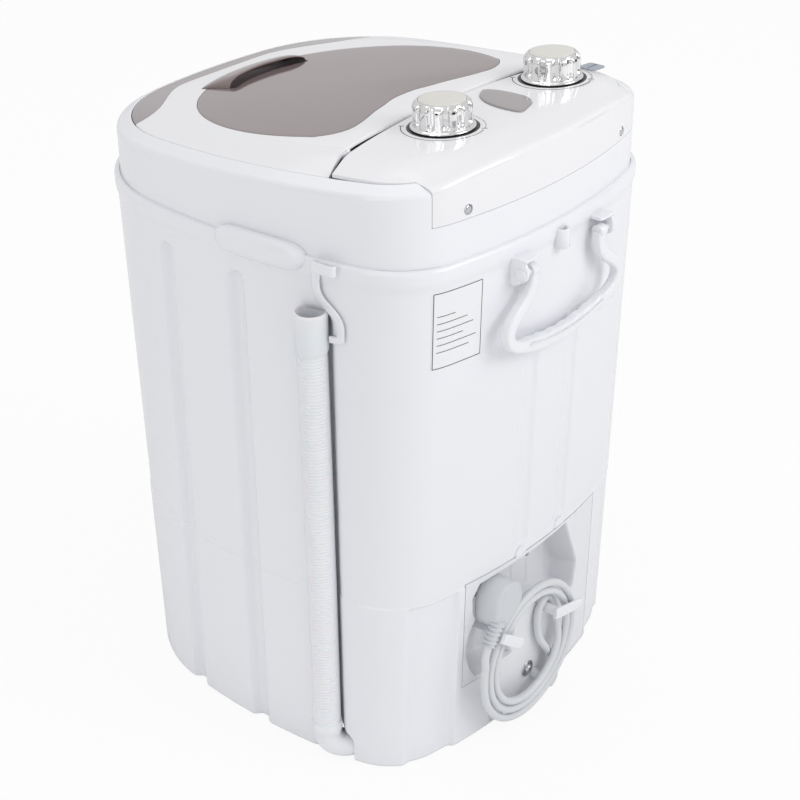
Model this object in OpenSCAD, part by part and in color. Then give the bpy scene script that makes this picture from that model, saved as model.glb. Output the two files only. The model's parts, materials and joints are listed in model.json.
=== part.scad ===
// Portable washing machine with a round wash tub, two timer knobs, a drain hose and a wound mains cord.
// +Z is up, -Y is the front where the lid lifts, +Y is the rear with the handle and the cord.

/* [Casing] */
// Half width of the casing under its rim bead
casing_half_x = 186; // [180:1:192]
// Half depth of the casing under its rim bead
casing_half_y = 202.4; // [198:0.2:207]
// Half width of the casing at its base
base_half_x = 185; // [180:1:190]
// Half depth of the casing at its base
base_half_y = 189.5; // [186:0.5:194]
// Height of the casing wall, from the floor to the bead
casing_h = 467; // [455:1:480]
// Height of the rim bead
bead_h = 21; // [19:1:24]
// How far the rim bead stands out from the top ring
bead_out = 4.5; // [3.5:0.5:6]
// Radius of the bulge of the left and right sides
side_r = 624; // [600:4:700]
// Radius of the bulge of the front and rear
end_r = 530; // [510:5:600]
// Corner radius at the rear
rear_corner_r = 64; // [58:1:70]
// Corner radius at the front
front_corner_r = 130; // [120:1:135]
// Wall thickness of the casing
wall = 2.6; // [2.2:0.1:3.2]
// Depth of the two plain side flutes
flute_d = 6; // [4:0.5:7]
// Width of the two plain side flutes
flute_w = 20; // [16:1:24]
// Depth of the channel that the drain hose lies in
channel_d = 11; // [9:0.5:12]
// Depth of the rear flutes and of the lower rear recesses
rear_flute_d = 4; // [2:0.5:5]
// Height of the step line round the casing
step_z = 175; // [170:1:182]
// Height of the rubber feet under the casing
foot_h = 1; // [0.5:0.5:2]

/* [Top] */
// Half width of the top ring's wall
ring_half_x = 183.3; // [178:0.1:186]
// Half depth of the top ring's wall
ring_half_y = 199.7; // [196:0.1:203]
// Height of the top ring's wall above the casing rim, at mid depth
ring_h = 50; // [46:1:54]
// Rise of the ring's top edge per millimetre towards the rear
ring_slope = 0.06; // [0.05:0.005:0.07]
// Wall thickness of the top ring, the lid and the console
skin = 2.5; // [2:0.1:3]
// Width of the ring's border between its wall and the lid
border = 13; // [11:0.5:15]
// Gap round the lid and the console
seam = 0.6; // [0.4:0.1:0.8]
// Tilt of the lid's flat top and of the control panel
lid_slope = 0.1; // [0.08:0.01:0.12]
// Radius of the window's round front
window_r = 136; // [126:1:138]
// Opening of the top ring over the tub
mouth_r = 136; // [128:1:138]
// Radius of the lid's hinge pins
hinge_pin_r = 1.2; // [1:0.1:1.4]

/* [Knobs] */
// Distance of the wash knob from the middle
wash_x = 47; // [45:1:52]
// Distance of the spin knob from the middle, on the other side
spin_x = 101; // [98:1:104]
// Depth position of both knobs
knob_y = 120; // [118:1:124]
// Diameter of a knob's chrome flange
knob_flange_d = 52.7; // [50:0.1:54]
// Diameter of a knob's fluted skirt
knob_d = 48; // [46:0.5:49]
// Diameter of a knob's ivory cap
cap_d = 38.7; // [36:0.1:42]
// Height of a knob above the panel
knob_h = 23; // [20:0.5:26]
// Diameter of the black dial ring
dial_d = 58; // [56:0.5:62]
// Radius of a timer's shaft
timer_shaft_r = 3; // [2.5:0.25:3.5]

/* [Drive] */
// Position of the tub's axis in depth
tub_y = -15; // [-18:1:-12]
// Outer radius of the tub at its top
tub_r = 146; // [144:1:150]
// Outer radius of the tub at its floor
tub_floor_r = 134; // [130:1:138]
// Height of the tub's floor
tub_floor_z = 165; // [162:1:172]
// Radius of the pulsator
pulsator_r = 100; // [90:1:104]
// Radius of the spin basket
basket_r = 110; // [104:1:114]
// Height of the spin basket
basket_h = 185; // [160:5:220]
// Radius of the drive shaft
shaft_r = 6; // [5:0.5:7]
// Pitch radius of the drive pulley
pulley_r = 62; // [56:1:66]
// Pitch radius of the motor pulley
motor_pulley_r = 15; // [12:1:18]
// Position of the motor's axis across and in depth
motor_pos = [-95, 75];
// Radius of the motor
motor_r = 46; // [42:1:48]

/* [Rear] */
// Half distance between the handle's pivots
handle_half = 47; // [44:1:50]
// Height of the handle's pivots
handle_z = 463; // [458:1:468]
// Radius of the handle's pivot pins
handle_pin_r = 3; // [2.5:0.25:3.5]
// Depth of the cord pocket
pocket_d = 25; // [20:1:30]
// Diameter of the mains cord
cord_d = 7; // [6:0.5:7.5]
// Outer diameter of the drain hose
hose_d = 25; // [22:0.5:26]
// Inner diameter of the drain hose
hose_bore = 18; // [15:0.5:19]

/* [Hidden] */
$fn = 64;
eps = 0.01;
fit = 0.05;
gap = 0.3;
rim_z = casing_h + bead_h;
bead_half_x = ring_half_x + bead_out;
bead_half_y = ring_half_y + bead_out;
ring_z = rim_z + ring_h;
seam_z = ring_z + 5;
lid_z = rim_z + 62;
deck_z = rim_z + 32;
deck_t = 3;
lid_tilt = atan(lid_slope);

// Plan outline: a bulged rectangle with round corners
rear_n = 8;
front_n = 12;
function corner(a, b, rc) =
    let (c1 = [a - side_r, 0], c2 = [0, b - end_r], d = c2 - c1, l = norm(d), e = d / l,
         r1 = side_r - rc, r2 = end_r - rc, x = (l * l + r1 * r1 - r2 * r2) / (2 * l),
         h = sqrt(r1 * r1 - x * x))
    c1 + e * x + [-e[1], e[0]] * h;
function quarter(a, b, rc, n, t) =
    let (c = corner(a, b, rc), g0 = atan2(c[1], c[0] - a + side_r), g1 = atan2(c[1] - b + end_r, c[0]))
    [for (i = [0:n]) let (g = g0 + (g1 - g0) * i / n) c + (rc - t) * [cos(g), sin(g)]];
function side_x(a, y, t) = a - side_r + sqrt(pow(side_r - t, 2) - y * y);
function end_y(b, x, t) = b - end_r + sqrt(pow(end_r - t, 2) - x * x);
function reversed(v) = [for (i = [len(v) - 1:-1:0]) v[i]];
function flip_x(v) = [for (p = reversed(v)) [-p[0], p[1]]];
function flip_y(v) = [for (p = reversed(v)) [p[0], -p[1]]];
// Outline from a side list and a rear list of [place, cut], with every corner point cut by corner_cut
function outline(a, b, t, sides, rears, corner_cut) =
    let (rear = quarter(a, b, rear_corner_r, rear_n, t), front = quarter(a, b, front_corner_r, front_n, t),
         c = corner(a, b, rear_corner_r),
         rear_cut = [for (i = [0:rear_n]) rear[i] - corner_cut * (i > rear_n - 3 ? 1 : 0)
             * (rear[i] - c) / norm(rear[i] - c)],
         right = [for (s = sides) [side_x(a, s[0], t) - s[1], s[0]]])
    concat(right, rear_cut, [for (s = rears) [s[0], end_y(b, s[0], t) - s[1]]], flip_x(rear_cut),
        flip_x(right), [for (p = front) -p],
        [for (x = [-40, 0, 40]) [x, -end_y(b, x, t)]], flip_y(front));
plain_sides = [for (y = [-60, -20, 20, 60, 100]) [y, 0]];
plain_rears = [for (x = [100, 60, 20, -20, -60, -100]) [x, 0]];
function ring_plan(t) = outline(ring_half_x, ring_half_y, t, plain_sides, plain_rears, 0);
function at_height(points, z) = [for (p = points) [p[0], p[1], z]];

// A wall whose section runs once round through the rings
module loft_wall(rings) {
    n = len(rings[0]);
    m = len(rings);
    polyhedron([for (r = rings) each r], [for (k = [0:m - 1]) for (i = [0:n - 1])
        let (j = (i + 1) % n, a = k * n + i, b = k * n + j, c = (k + 1) % m * n + i, d = (k + 1) % m * n + j)
        each [[a, c, b], [b, c, d]]]);
}
// A solid through the rings from the bottom up, closed by fans to two middle points
module loft_solid(rings, low, high) {
    n = len(rings[0]);
    m = len(rings);
    polyhedron(concat([for (r = rings) each r], [low, high]), concat(
        [for (k = [0:m - 2]) for (i = [0:n - 1])
            let (j = (i + 1) % n, a = k * n + i, b = k * n + j, c = a + n, d = b + n)
            each [[a, c, b], [b, c, d]]],
        [for (i = [0:n - 1]) [m * n, i, (i + 1) % n]],
        [for (i = [0:n - 1]) [m * n + 1, (m - 1) * n + (i + 1) % n, (m - 1) * n + i]]));
}
module tube(r_out, r_in, h) {
    difference() {
        cylinder(r = r_out, h = h);
        translate([0, 0, -1]) cylinder(r = r_in, h = h + 2);
    }
}
module both_sides() {
    children();
    mirror([1, 0, 0]) children();
}

// Casing
hose_y = 99;
flute_ys = [-62, 20];
flute_edge = 4;
channel_w = hose_d + 9;
side_cuts = concat(
    [for (c = flute_ys) each [[c - flute_w / 2, 0], [c - flute_w / 2 + flute_edge, flute_d],
        [c + flute_w / 2 - flute_edge, flute_d], [c + flute_w / 2, 0], [c + 38, 0]]],
    [[hose_y - channel_w / 2, 0], [hose_y - channel_w / 2 + flute_edge, channel_d],
        [hose_y + channel_w / 2 - flute_edge, channel_d], [hose_y + channel_w / 2, 0]]);
rear_flute_x = 29;
rear_flute_w = 18;
recess_x = 104;
rear_half = [[recess_x + 8, 0, 1], [recess_x + 2, 0, 1], [recess_x - 2, 0, 0], [70, 0, 0],
    [rear_flute_x + rear_flute_w / 2, 0, 0], [rear_flute_x + rear_flute_w / 2 - 3, 1, 0],
    [rear_flute_x - rear_flute_w / 2 + 3, 1, 0], [rear_flute_x - rear_flute_w / 2, 0, 0]];
rear_all = concat(rear_half, [[0, 0, 0]], [for (p = reversed(rear_half)) [-p[0], p[1], p[2]]]);
side_flute_z = 456;
rear_flute_z = 402;
step_out = 0.8;
ledge_z = rim_z - 4;
function casing_a(z) = base_half_x + (casing_half_x - base_half_x) * z / casing_h;
function casing_b(z) = base_half_y + (casing_half_y - base_half_y) * z / casing_h;
// One casing ring: height, inset, and which of the side flutes, rear flutes and lower recesses are cut
function casing_ring(z, t, side, rear, recess) = at_height(outline(casing_a(z), casing_b(z), t,
    [for (s = side_cuts) [s[0], s[1] * side]],
    [for (s = rear_all) [s[0], rear_flute_d * (s[1] * rear + s[2] * recess)]], rear_flute_d * recess), z);
function bead_ring(z, t) = at_height(outline(bead_half_x, bead_half_y, t,
    [for (s = side_cuts) [s[0], 0]], [for (s = rear_all) [s[0], 0]], 0), z);
module casing_shell() {
    loft_wall([
        casing_ring(foot_h, 2, 1, 0, 1), casing_ring(foot_h + 3, -step_out, 1, 0, 1),
        casing_ring(step_z - 1, -step_out, 1, 0, 1), casing_ring(step_z, 0, 1, 0, 0),
        casing_ring(step_z + 3, 0, 1, 1, 0),
        casing_ring(rear_flute_z - 8, 0, 1, 1, 0), casing_ring(rear_flute_z, 0, 1, 0, 0),
        casing_ring(side_flute_z - 8, 0, 1, 0, 0), casing_ring(side_flute_z, 0, 0, 0, 0),
        casing_ring(casing_h, 0, 0, 0, 0), bead_ring(casing_h + 8, 0), bead_ring(rim_z - 3, 0),
        bead_ring(rim_z - 0.8, 0.6), bead_ring(rim_z, 2.2),
        bead_ring(rim_z, wall + 2), bead_ring(ledge_z, wall + 2), bead_ring(ledge_z, wall + 5),
        casing_ring(casing_h + 4, wall, 0, 0, 0), casing_ring(side_flute_z, wall, 0, 0, 0),
        casing_ring(side_flute_z - 8, wall, 1, 0, 0), casing_ring(rear_flute_z, wall, 1, 0, 0),
        casing_ring(rear_flute_z - 8, wall, 1, 1, 0), casing_ring(step_z + 3, wall, 1, 1, 0),
        casing_ring(step_z, wall, 1, 0, 1), casing_ring(foot_h, wall, 1, 0, 1)]);
}

// Rear service cover outline, seen from behind, in x and z
cover_top = 178;
cover_left = 97;
cover_right = -96;
cover_low = 6;
module cover_outline(grow) {
    offset(delta = grow) polygon([[cover_left, 66], [cover_left, cover_top], [cover_right, cover_top - 4],
        [cover_right - 3, 30], [cover_right - 2, cover_low], [60, cover_low], [66, 60], [72, 66]]);
}
module along_y(y0, y1) {
    translate([0, y1, 0]) rotate([90, 0, 0]) linear_extrude(y1 - y0) children();
}
boss_x = 1;
boss_z = 465;
ear_t = 4;
ear_x = handle_half + 11;
handle_y = 209;
// Round-topped notch in the foot of the casing for the hose elbow
notch_y = hose_y + 12;
notch_r = hose_d / 2 + 5.5;
notch_z = 24;
module elbow_notch() {
    translate([casing_half_x - 60, notch_y, notch_z]) rotate([0, 90, 0]) cylinder(r = notch_r, h = 70);
    translate([casing_half_x - 60, notch_y - notch_r, -1]) cube([70, 2 * notch_r, notch_z + 1]);
}
module handle_ear() {
    difference() {
        union() {
            translate([ear_x, casing_half_y - 9, handle_z]) rotate([0, 90, 0]) linear_extrude(ear_t)
                polygon([[-11, 0], [-11, 16], [-5, 22], [4, 22], [8, 17], [12, 3], [12, 0]]);
            translate([ear_x - 14, casing_half_y - 9, handle_z + 10]) cube([14 + ear_t, 19, 1.8]);
        }
        translate([ear_x - 1, handle_y, handle_z]) rotate([0, 90, 0])
            cylinder(r = handle_pin_r + fit, h = ear_t + 2);
    }
}
module outer_casing() {
    color("white") {
        difference() {
            casing_shell();
            along_y(150, 230) cover_outline(gap);
            elbow_notch();
        }
        both_sides() handle_ear();
        difference() {
            translate([boss_x, casing_half_y + 1, boss_z]) tube(6.5, 4, 17);
            translate([-20, casing_half_y - 30, boss_z - 1]) cube([40, 29.4, 20]);
        }
    }
}

// Top ring
mouth_y = tub_y;
hinge_y = 92;
hinge_z = rim_z + 69;
lug_x = 132;
lug_w = 5;
lug_r = 2.4;
console_half = 136;
function ring_top(p, dz) = [p[0], p[1], dz + ring_slope * p[1]];
function sloped(t, dz) = [for (p = ring_plan(t)) ring_top(p, dz)];
ledge_depth = 9;
module ring_wall() {
    loft_wall([at_height(ring_plan(0), rim_z), sloped(0, ring_z - 3), sloped(0.9, ring_z - 0.9),
        sloped(3, ring_z), sloped(border - 0.8, seam_z), sloped(border, seam_z - 0.8),
        sloped(border, seam_z - ledge_depth), sloped(border + 7, seam_z - ledge_depth),
        sloped(border + 7, seam_z - ledge_depth - skin), sloped(skin + 1, seam_z - ledge_depth - skin),
        at_height(ring_plan(skin), rim_z)]);
}
module hinge_lug() {
    translate([lug_x, hinge_y, hinge_z]) rotate([0, 90, 0]) difference() {
        union() {
            cylinder(r = lug_r, h = lug_w);
            translate([0, -lug_r, 0]) cube([hinge_z - deck_z + 1, 2 * lug_r, lug_w]);
        }
        translate([0, 0, -1]) cylinder(r = hinge_pin_r + fit, h = lug_w + 2);
    }
}
module top_ring() {
    color("white") {
        difference() {
            union() {
                ring_wall();
                translate([0, 0, deck_z - deck_t]) linear_extrude(deck_t) polygon(ring_plan(1));
                translate([0, mouth_y, rim_z + 12]) cylinder(r = mouth_r + skin, h = 20);
            }
            translate([0, mouth_y, rim_z]) cylinder(r = mouth_r, h = 60);
            translate([-console_half, 120, deck_z]) cube([2 * console_half, 100, 60]);
        }
        both_sides() hinge_lug();
    }
}

// Control console
panel_z0 = rim_z + 70;
panel_slope = 4 / 77;
panel_tilt = atan(panel_slope);
function panel_z(y) = panel_z0 + panel_slope * (y - 81);
function console_edge(x) = abs(x) > console_half ? rim_z + 61 : rim_z + 72 - 9 * pow(abs(x) / console_half, 3);
function console_ring(t, share) = [for (p = ring_plan(t))
    [p[0], p[1], console_edge(p[0]) * (1 - share) + panel_z(p[1]) * share]];
module console_dome(t, drop) {
    loft_solid([at_height(ring_plan(t), deck_z - drop * 2),
        [for (p = console_ring(4.5 + t, 0)) p - [0, 0, drop]],
        [for (p = console_ring(14 + t, 0.4)) p - [0, 0, drop]],
        [for (p = console_ring(26 + t, 0.8)) p - [0, 0, drop]],
        [for (p = console_ring(40 + t, 1)) p - [0, 0, drop]]],
        [0, 0, deck_z - drop * 2], [0, 0, panel_z(0) - drop]);
}
// Plan region behind the seam between the lid and the console
function seam_y(x) = 81 + x * x / 1120;
module behind_seam(shift) {
    polygon(concat([for (x = [-200:10:200]) [x, seam_y(x) + shift]], [[200, 260], [-200, 260]]));
}
module console_region(shift, inset) {
    intersection() {
        behind_seam(shift);
        union() {
            polygon(ring_plan(border + seam + inset));
            translate([-console_half + seam + inset, 100]) square([2 * (console_half - seam - inset), 120]);
        }
    }
}
module at_knob(x) {
    translate([x, knob_y, panel_z(knob_y)]) rotate([panel_tilt, 0, 0]) children();
}
screw_x = 104;
screw_z = rim_z + 39.5;
inlet_x = -146;
inlet_y = 130;
module leaf_outline(grow) {
    offset(r = 3 + grow) offset(delta = -3) polygon([[-42, 90], [-28, 97], [-14, 120], [-11, 138],
        [-12, 153], [-40, 145], [-48, 130], [-49, 109], [-46, 96]]);
}
module inlet_outline(grow) {
    translate([inlet_x, inlet_y]) rotate(-8) offset(r = 3 + grow) square([10, 12], center = true);
}
module panel_cut(depth, h) {
    translate([0, 81, panel_z(81) - depth]) rotate([panel_tilt, 0, 0]) translate([0, -81, 0])
        linear_extrude(h) children();
}
module console_screw_places() {
    for (x = [-screw_x, screw_x]) translate([x, end_y(ring_half_y, x, 0), screw_z]) children();
}
// Room that the console's ends leave for the ring's ledge
module above_ledge() {
    translate([console_half - 0.2, 0, seam_z - ledge_depth]) rotate([atan(ring_slope), 0, 0])
        translate([0, 0, -40]) cube([80, 240, 40 + gap]);
}
module control_console() {
    color("white") difference() {
        intersection() {
            console_dome(0, 0);
            translate([0, 0, deck_z]) linear_extrude(80) console_region(seam, 0);
        }
        intersection() {
            console_dome(skin, skin);
            translate([0, 0, deck_z - 5]) linear_extrude(80) console_region(seam + skin, skin);
        }
        both_sides() above_ledge();
        for (x = [wash_x, -spin_x]) at_knob(x) translate([0, 0, -9]) cylinder(r = timer_shaft_r + 1, h = 18);
        for (x = [wash_x, -spin_x]) at_knob(x) translate([0, 0, -1]) cylinder(r = dial_d / 2 + 0.1, h = 18);
        panel_cut(1, 20) leaf_outline(0.2);
        panel_cut(3, 20) inlet_outline(0.2);
        console_screw_places() rotate([90, 0, 0]) translate([0, 0, -20]) cylinder(r = 2.05, h = 40);
        console_screw_places() rotate([-90, 0, 0]) translate([0, 0, -1.2]) cylinder(r = 4.3, h = 40);
    }
}
module console_screws() {
    color("silver") console_screw_places() rotate([-90, 0, 0]) difference() {
        union() {
            translate([0, 0, -10]) cylinder(r = 2, h = 9);
            translate([0, 0, -1.2]) cylinder(r = 4, h = 1.4);
        }
        for (turn = [45, 135]) rotate(turn) translate([-2.5, -0.5, -0.5]) cube([5, 1, 2]);
    }
}

// Lid
function lid_height(p, share) = (seam_z + ring_slope * p[1]) * (1 - share) + (lid_z + lid_slope * p[1]) * share;
function lid_ring(t, share, drop) = [for (p = ring_plan(t)) [p[0], p[1], lid_height(p, share) - drop]];
lid_skirt = 8;
module lid_dome(t, drop) {
    loft_solid([lid_ring(border + seam + t, 0, lid_skirt + drop * 2), lid_ring(border + seam + t, 0, 0.8 + drop),
        lid_ring(border + 3 + t, 0.3, drop), lid_ring(border + 8 + t, 0.75, drop),
        lid_ring(border + 20 + t, 1, drop)],
        [0, 0, seam_z - lid_skirt - drop * 2], [0, 0, lid_z - drop]);
}
module lid_shell() {
    difference() {
        lid_dome(0, 0);
        lid_dome(skin, skin);
        translate([0, 0, rim_z]) linear_extrude(120) behind_lid();
    }
}
// The gap behind the lid widens towards its ends, where the lid's corners swing down as it opens
lid_end_gap = 2.2;
module behind_lid() {
    polygon(concat([for (x = [-200:10:200]) [x, seam_y(x) - seam - lid_end_gap * swell((abs(x) - 60) / 60)]],
        [[200, 260], [-200, 260]]));
}
function swell(s) = (1 - cos(180 * min(1, max(0, s)))) / 2;
function front_edge(x) = -169 + 46 * swell((abs(x) - 46) / 96);
module before_edge(shift) {
    polygon(concat([for (x = [-190:10:190]) [x, front_edge(x) + shift]], [[190, -260], [-190, -260]]));
}
window_dip = 40;
window_lobe = 23;
window_y = -5;
window_t = 3;
module window_outline(grow) {
    offset(r = 12 + grow) offset(delta = -12) intersection() {
        translate([0, window_y]) circle(r = window_r);
        polygon(concat([for (x = [-150:6:150]) [x, window_dip + window_lobe * swell(abs(x) / 92)
            - window_lobe * swell((abs(x) - 92) / 92)]], [[150, -200], [-150, -200]]));
    }
}
module on_lid(down) {
    translate([0, 0, lid_z]) rotate([lid_tilt, 0, 0]) translate([0, 0, -down]) children();
}
scoop_turn = 48;
module scoop_arc(wider, profile) {
    translate([0, window_y, 0]) rotate(-90 - (scoop_turn + wider) / 2) rotate_extrude(angle = scoop_turn + wider)
        polygon(profile);
}
scoop_in = window_r - 22;
scoop_out = window_r + 10;
module lid_hinge_bores() {
    both_sides() translate([lug_x - 5 - gap, hinge_y, hinge_z]) rotate([0, 90, 0])
        cylinder(r = hinge_pin_r + fit, h = lug_w + 10 + 2 * gap);
}
module lid_frame() {
    color("white") {
        difference() {
            lid_shell();
            lid_hinge_bores();
            on_lid(20) linear_extrude(40) window_outline(0);
            translate([0, 0, rim_z]) linear_extrude(120) before_edge(0);
            on_lid(0) scoop_arc(4, [[scoop_in - 2, -14], [scoop_out + 0.5, -14], [scoop_out + 0.5, 14],
                [scoop_in - 2, 14]]);
            both_sides() translate([lug_x - gap, hinge_y - lug_r - gap, rim_z])
                cube([lug_w + 2 * gap, 30, 120]);
            both_sides() translate([lug_x + 18, hinge_y - 2, rim_z]) cube([20, 20, 55.4]);
        }
        difference() {
            on_lid(window_t + skin) {
                linear_extrude(skin) difference() {
                    window_outline(6);
                    window_outline(-5);
                }
                linear_extrude(window_t + skin - 1) difference() {
                    window_outline(6);
                    window_outline(0);
                }
            }
            on_lid(0) scoop_arc(4, [[scoop_in - 3, -14], [scoop_out + 1, -14], [scoop_out + 1, 14],
                [scoop_in - 3, 14]]);
        }
        both_sides() for (x = [lug_x - 4 - gap, lug_x + lug_w + gap])
            translate([x, hinge_y, hinge_z]) rotate([0, 90, 0]) tube(lug_r, hinge_pin_r + fit, 4);
    }
}
module lid_hinge_pins() {
    color("silver") both_sides() translate([lug_x - 4 - gap, hinge_y, hinge_z]) rotate([0, 90, 0])
        cylinder(r = hinge_pin_r, h = lug_w + 8 + 2 * gap);
}
module lid_window() {
    color([0.36, 0.28, 0.27, 0.8]) on_lid(0) difference() {
        union() {
            translate([0, 0, -window_t]) linear_extrude(window_t) window_outline(-gap);
            scoop_arc(2, [[scoop_in - 1, -2], [scoop_in + 9, -8], [scoop_out - 8, -9], [scoop_out, -3],
                [scoop_out, 1], [scoop_in - 1, 1]]);
        }
        scoop_arc(0, [[scoop_in + 2, 4], [scoop_in + 2, -1], [scoop_in + 11, -5.5], [scoop_out - 9, -6.5],
            [scoop_out - 2.5, -2], [scoop_out - 2.5, 4]]);
    }
}
module lid_front_trim() {
    color([0.36, 0.28, 0.27]) intersection() {
        lid_shell();
        translate([0, 0, rim_z]) linear_extrude(120) before_edge(-gap);
    }
}

// Knobs and timers
module dial_rings() {
    color([0.06, 0.06, 0.07]) for (x = [wash_x, -spin_x]) at_knob(x) translate([0, 0, -1])
        tube(dial_d / 2, timer_shaft_r + 1.5, 1);
}
hub_r = 8;
module knob_body() {
    difference() {
        union() {
            translate([0, 0, gap]) cylinder(r = knob_flange_d / 2, h = 2);
            cylinder_from(2, knob_d / 2, knob_d / 2 - 0.6, knob_h - 4);
            translate([0, 0, knob_h - 2 - eps]) cylinder(r1 = knob_d / 2 - 0.6, r2 = cap_d / 2 + 1.5, h = 2 + eps);
        }
        translate([0, 0, -eps]) tube(knob_d / 2 - 2.5, hub_r, knob_h - 4);
        translate([0, 0, -1]) cylinder(r = timer_shaft_r, h = knob_h - 6);
        translate([0, 0, knob_h - 2]) cylinder(r = cap_d / 2, h = 4);
        for (turn = [0:30:330]) rotate(turn) translate([knob_d / 2 + 1.3, 0, 4])
            cylinder(r = 3, h = knob_h - 7, $fn = 24);
    }
}
module cylinder_from(z, r1, r2, h) {
    translate([0, 0, z]) cylinder(r1 = r1, r2 = r2, h = h);
}
cap_r = cap_d / 2 - 0.1;
cap_rise = 1.5;
module knob_cap() {
    translate([0, 0, knob_h - 2]) {
        rotate_extrude() polygon(concat([[0, 0], [cap_r, 0]],
            [for (i = [0:6]) [cap_r * (1 - i / 6), 2 + cap_rise * (1 - pow(1 - i / 6, 2))]]));
    }
}
timer_h = 24;
module timer_body() {
    translate([0, 0, -skin - 1.5 - timer_h]) tube(22, timer_shaft_r + fit, timer_h);
    translate([0, 0, -skin - 1.5]) tube(8, timer_shaft_r + fit, 1.4);
}
module timer_shaft() {
    translate([0, 0, -skin - 1 - timer_h + 2]) cylinder(r = timer_shaft_r, h = timer_h + skin + knob_h - 8);
}
module wash_knob() {
    color("silver") at_knob(wash_x) knob_body();
}
module wash_knob_cap() {
    color("ivory") at_knob(wash_x) knob_cap();
}
module wash_timer() {
    color("dimgray") at_knob(wash_x) timer_body();
}
module wash_timer_shaft() {
    color("silver") at_knob(wash_x) timer_shaft();
}
module spin_knob() {
    color("silver") at_knob(-spin_x) knob_body();
}
module spin_knob_cap() {
    color("ivory") at_knob(-spin_x) knob_cap();
}
module spin_timer() {
    color("dimgray") at_knob(-spin_x) timer_body();
}
module spin_timer_shaft() {
    color("silver") at_knob(-spin_x) timer_shaft();
}
module leaf_insert() {
    color([0.4, 0.33, 0.33]) panel_cut(1, 1.6) leaf_outline(0);
}
module inlet_insert() {
    color([0.6, 0.66, 0.72]) difference() {
        panel_cut(3, 2) inlet_outline(0);
        panel_cut(2, 4) translate([inlet_x - 7, inlet_y - 2]) square([14, 4]);
    }
}

// Drain hose
hose_low = 42;
hose_top = 436;
hose_pitch = 3;
hose_x = casing_half_x - 3;
function hose_centre(z) = hose_x - 1.5 + 2.5 * pow((z - hose_low) / (hose_top - hose_low), 2);
function hose_ring(z, r) = [for (i = [0:7]) [hose_centre(z) + r * cos(45 * i + 22.5),
    hose_y + r * sin(45 * i + 22.5), z]];
rib_count = floor((hose_top - hose_low - 2 * hose_d) / hose_pitch);
rib_low = hose_low + hose_d;
module drain_hose() {
    color("white") loft_wall(concat(
        [hose_ring(hose_low, hose_d / 2 - 1)],
        [for (i = [0:rib_count - 1]) each [hose_ring(rib_low + i * hose_pitch, hose_d / 2 - 1),
            hose_ring(rib_low + (i + 0.5) * hose_pitch, hose_d / 2)]],
        [hose_ring(hose_top, hose_d / 2 - 1)],
        [for (i = [8:-1:0]) hose_ring(hose_low + (hose_top - hose_low) * i / 8, hose_bore / 2)]));
}
cuff_h = 34;
module hose_cuff() {
    color("white") translate([hose_centre(hose_top), hose_y, hose_top - 24])
        tube(hose_d / 2 + 1.4, hose_d / 2 + 0.2, cuff_h);
}
elbow_r = 17;
elbow_turn = 40;
elbow_tail = 14;
elbow_dir = [-cos(elbow_turn), sin(elbow_turn), 0];
elbow_top = [hose_centre(hose_low), hose_y, hose_low - 12];
elbow_end = elbow_top + (elbow_r + elbow_tail) * elbow_dir - [0, 0, elbow_r];
// A ring of the elbow: how far round the bend, how far along the straight end, and its radius
elbow_side = [-elbow_dir[1], elbow_dir[0], 0];
function elbow_ring(turn, along, r) =
    let (c = elbow_top + elbow_r * (1 - cos(turn)) * elbow_dir - [0, 0, elbow_r * sin(turn)],
         n = cos(turn) * elbow_dir + [0, 0, sin(turn)], t = sin(turn) * elbow_dir - [0, 0, cos(turn)])
    [for (i = [0:15]) c + along * t + r * (n * cos(22.5 * i) + elbow_side * sin(22.5 * i))];
module hose_elbow() {
    color("white") loft_wall(concat(
        [elbow_ring(90, elbow_tail, hose_d / 2)],
        [for (i = [6:-1:0]) elbow_ring(15 * i, 0, hose_d / 2)],
        [elbow_ring(0, -0.6, hose_d / 2 + 0.5), elbow_ring(0, -12, hose_d / 2 + 0.5), elbow_ring(0, -12, hose_bore / 2)],
        [for (i = [0:6]) elbow_ring(15 * i, 0, hose_bore / 2)],
        [elbow_ring(90, elbow_tail, hose_bore / 2)]));
}
pipe_r = 8;
knuckle_r = 12;
drain_pos = [108, 30];
module rod(p, q, r) {
    d = q - p;
    translate(p) rotate([0, acos(d[2] / norm(d)), atan2(d[1], d[0])]) cylinder(r = r, h = norm(d));
}
module drain_pipe() {
    a = [drain_pos[0], drain_pos[1], tub_floor_z - gap];
    b = [drain_pos[0], drain_pos[1], 22];
    c = elbow_end + 26 * elbow_dir;
    color("gainsboro") {
        translate(b - [0, 0, 8]) cylinder(r = pipe_r, h = a[2] - b[2] + 8);
        rod(b, c, pipe_r);
        rod(c, elbow_end + gap * elbow_dir, pipe_r);
        translate(b - [0, 0, 10]) cylinder(r = knuckle_r, h = 22);
        translate(c - [0, 0, 10]) cylinder(r = knuckle_r, h = 21);
        translate(b + [0, 0, 60]) cylinder(r = 19, h = 34);
    }
}
module clip_strap(p, q) {
    hull() {
        translate(p) rotate([0, 90, 0]) cylinder(r = 3, h = 2.5, $fn = 24);
        translate(q) rotate([0, 90, 0]) cylinder(r = 3, h = 2.5, $fn = 24);
    }
}
clip_x = side_x(bead_half_x, hose_y + 5, 0) + 0.3;
module hose_clip() {
    color("white") {
        translate([clip_x, hose_y + 3, rim_z - 20]) cube([2.5, 6, 19]);
        clip_strap([clip_x, hose_y + 6, rim_z - 20], [clip_x - 3, hose_y + 22, rim_z - 44]);
        clip_strap([clip_x - 3, hose_y + 22, rim_z - 44], [clip_x - 3, hose_y + 23, rim_z - 65]);
        clip_strap([clip_x - 3, hose_y + 23, rim_z - 65], [clip_x - 1.5, hose_y + 16.5, rim_z - 65]);
    }
}

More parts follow.
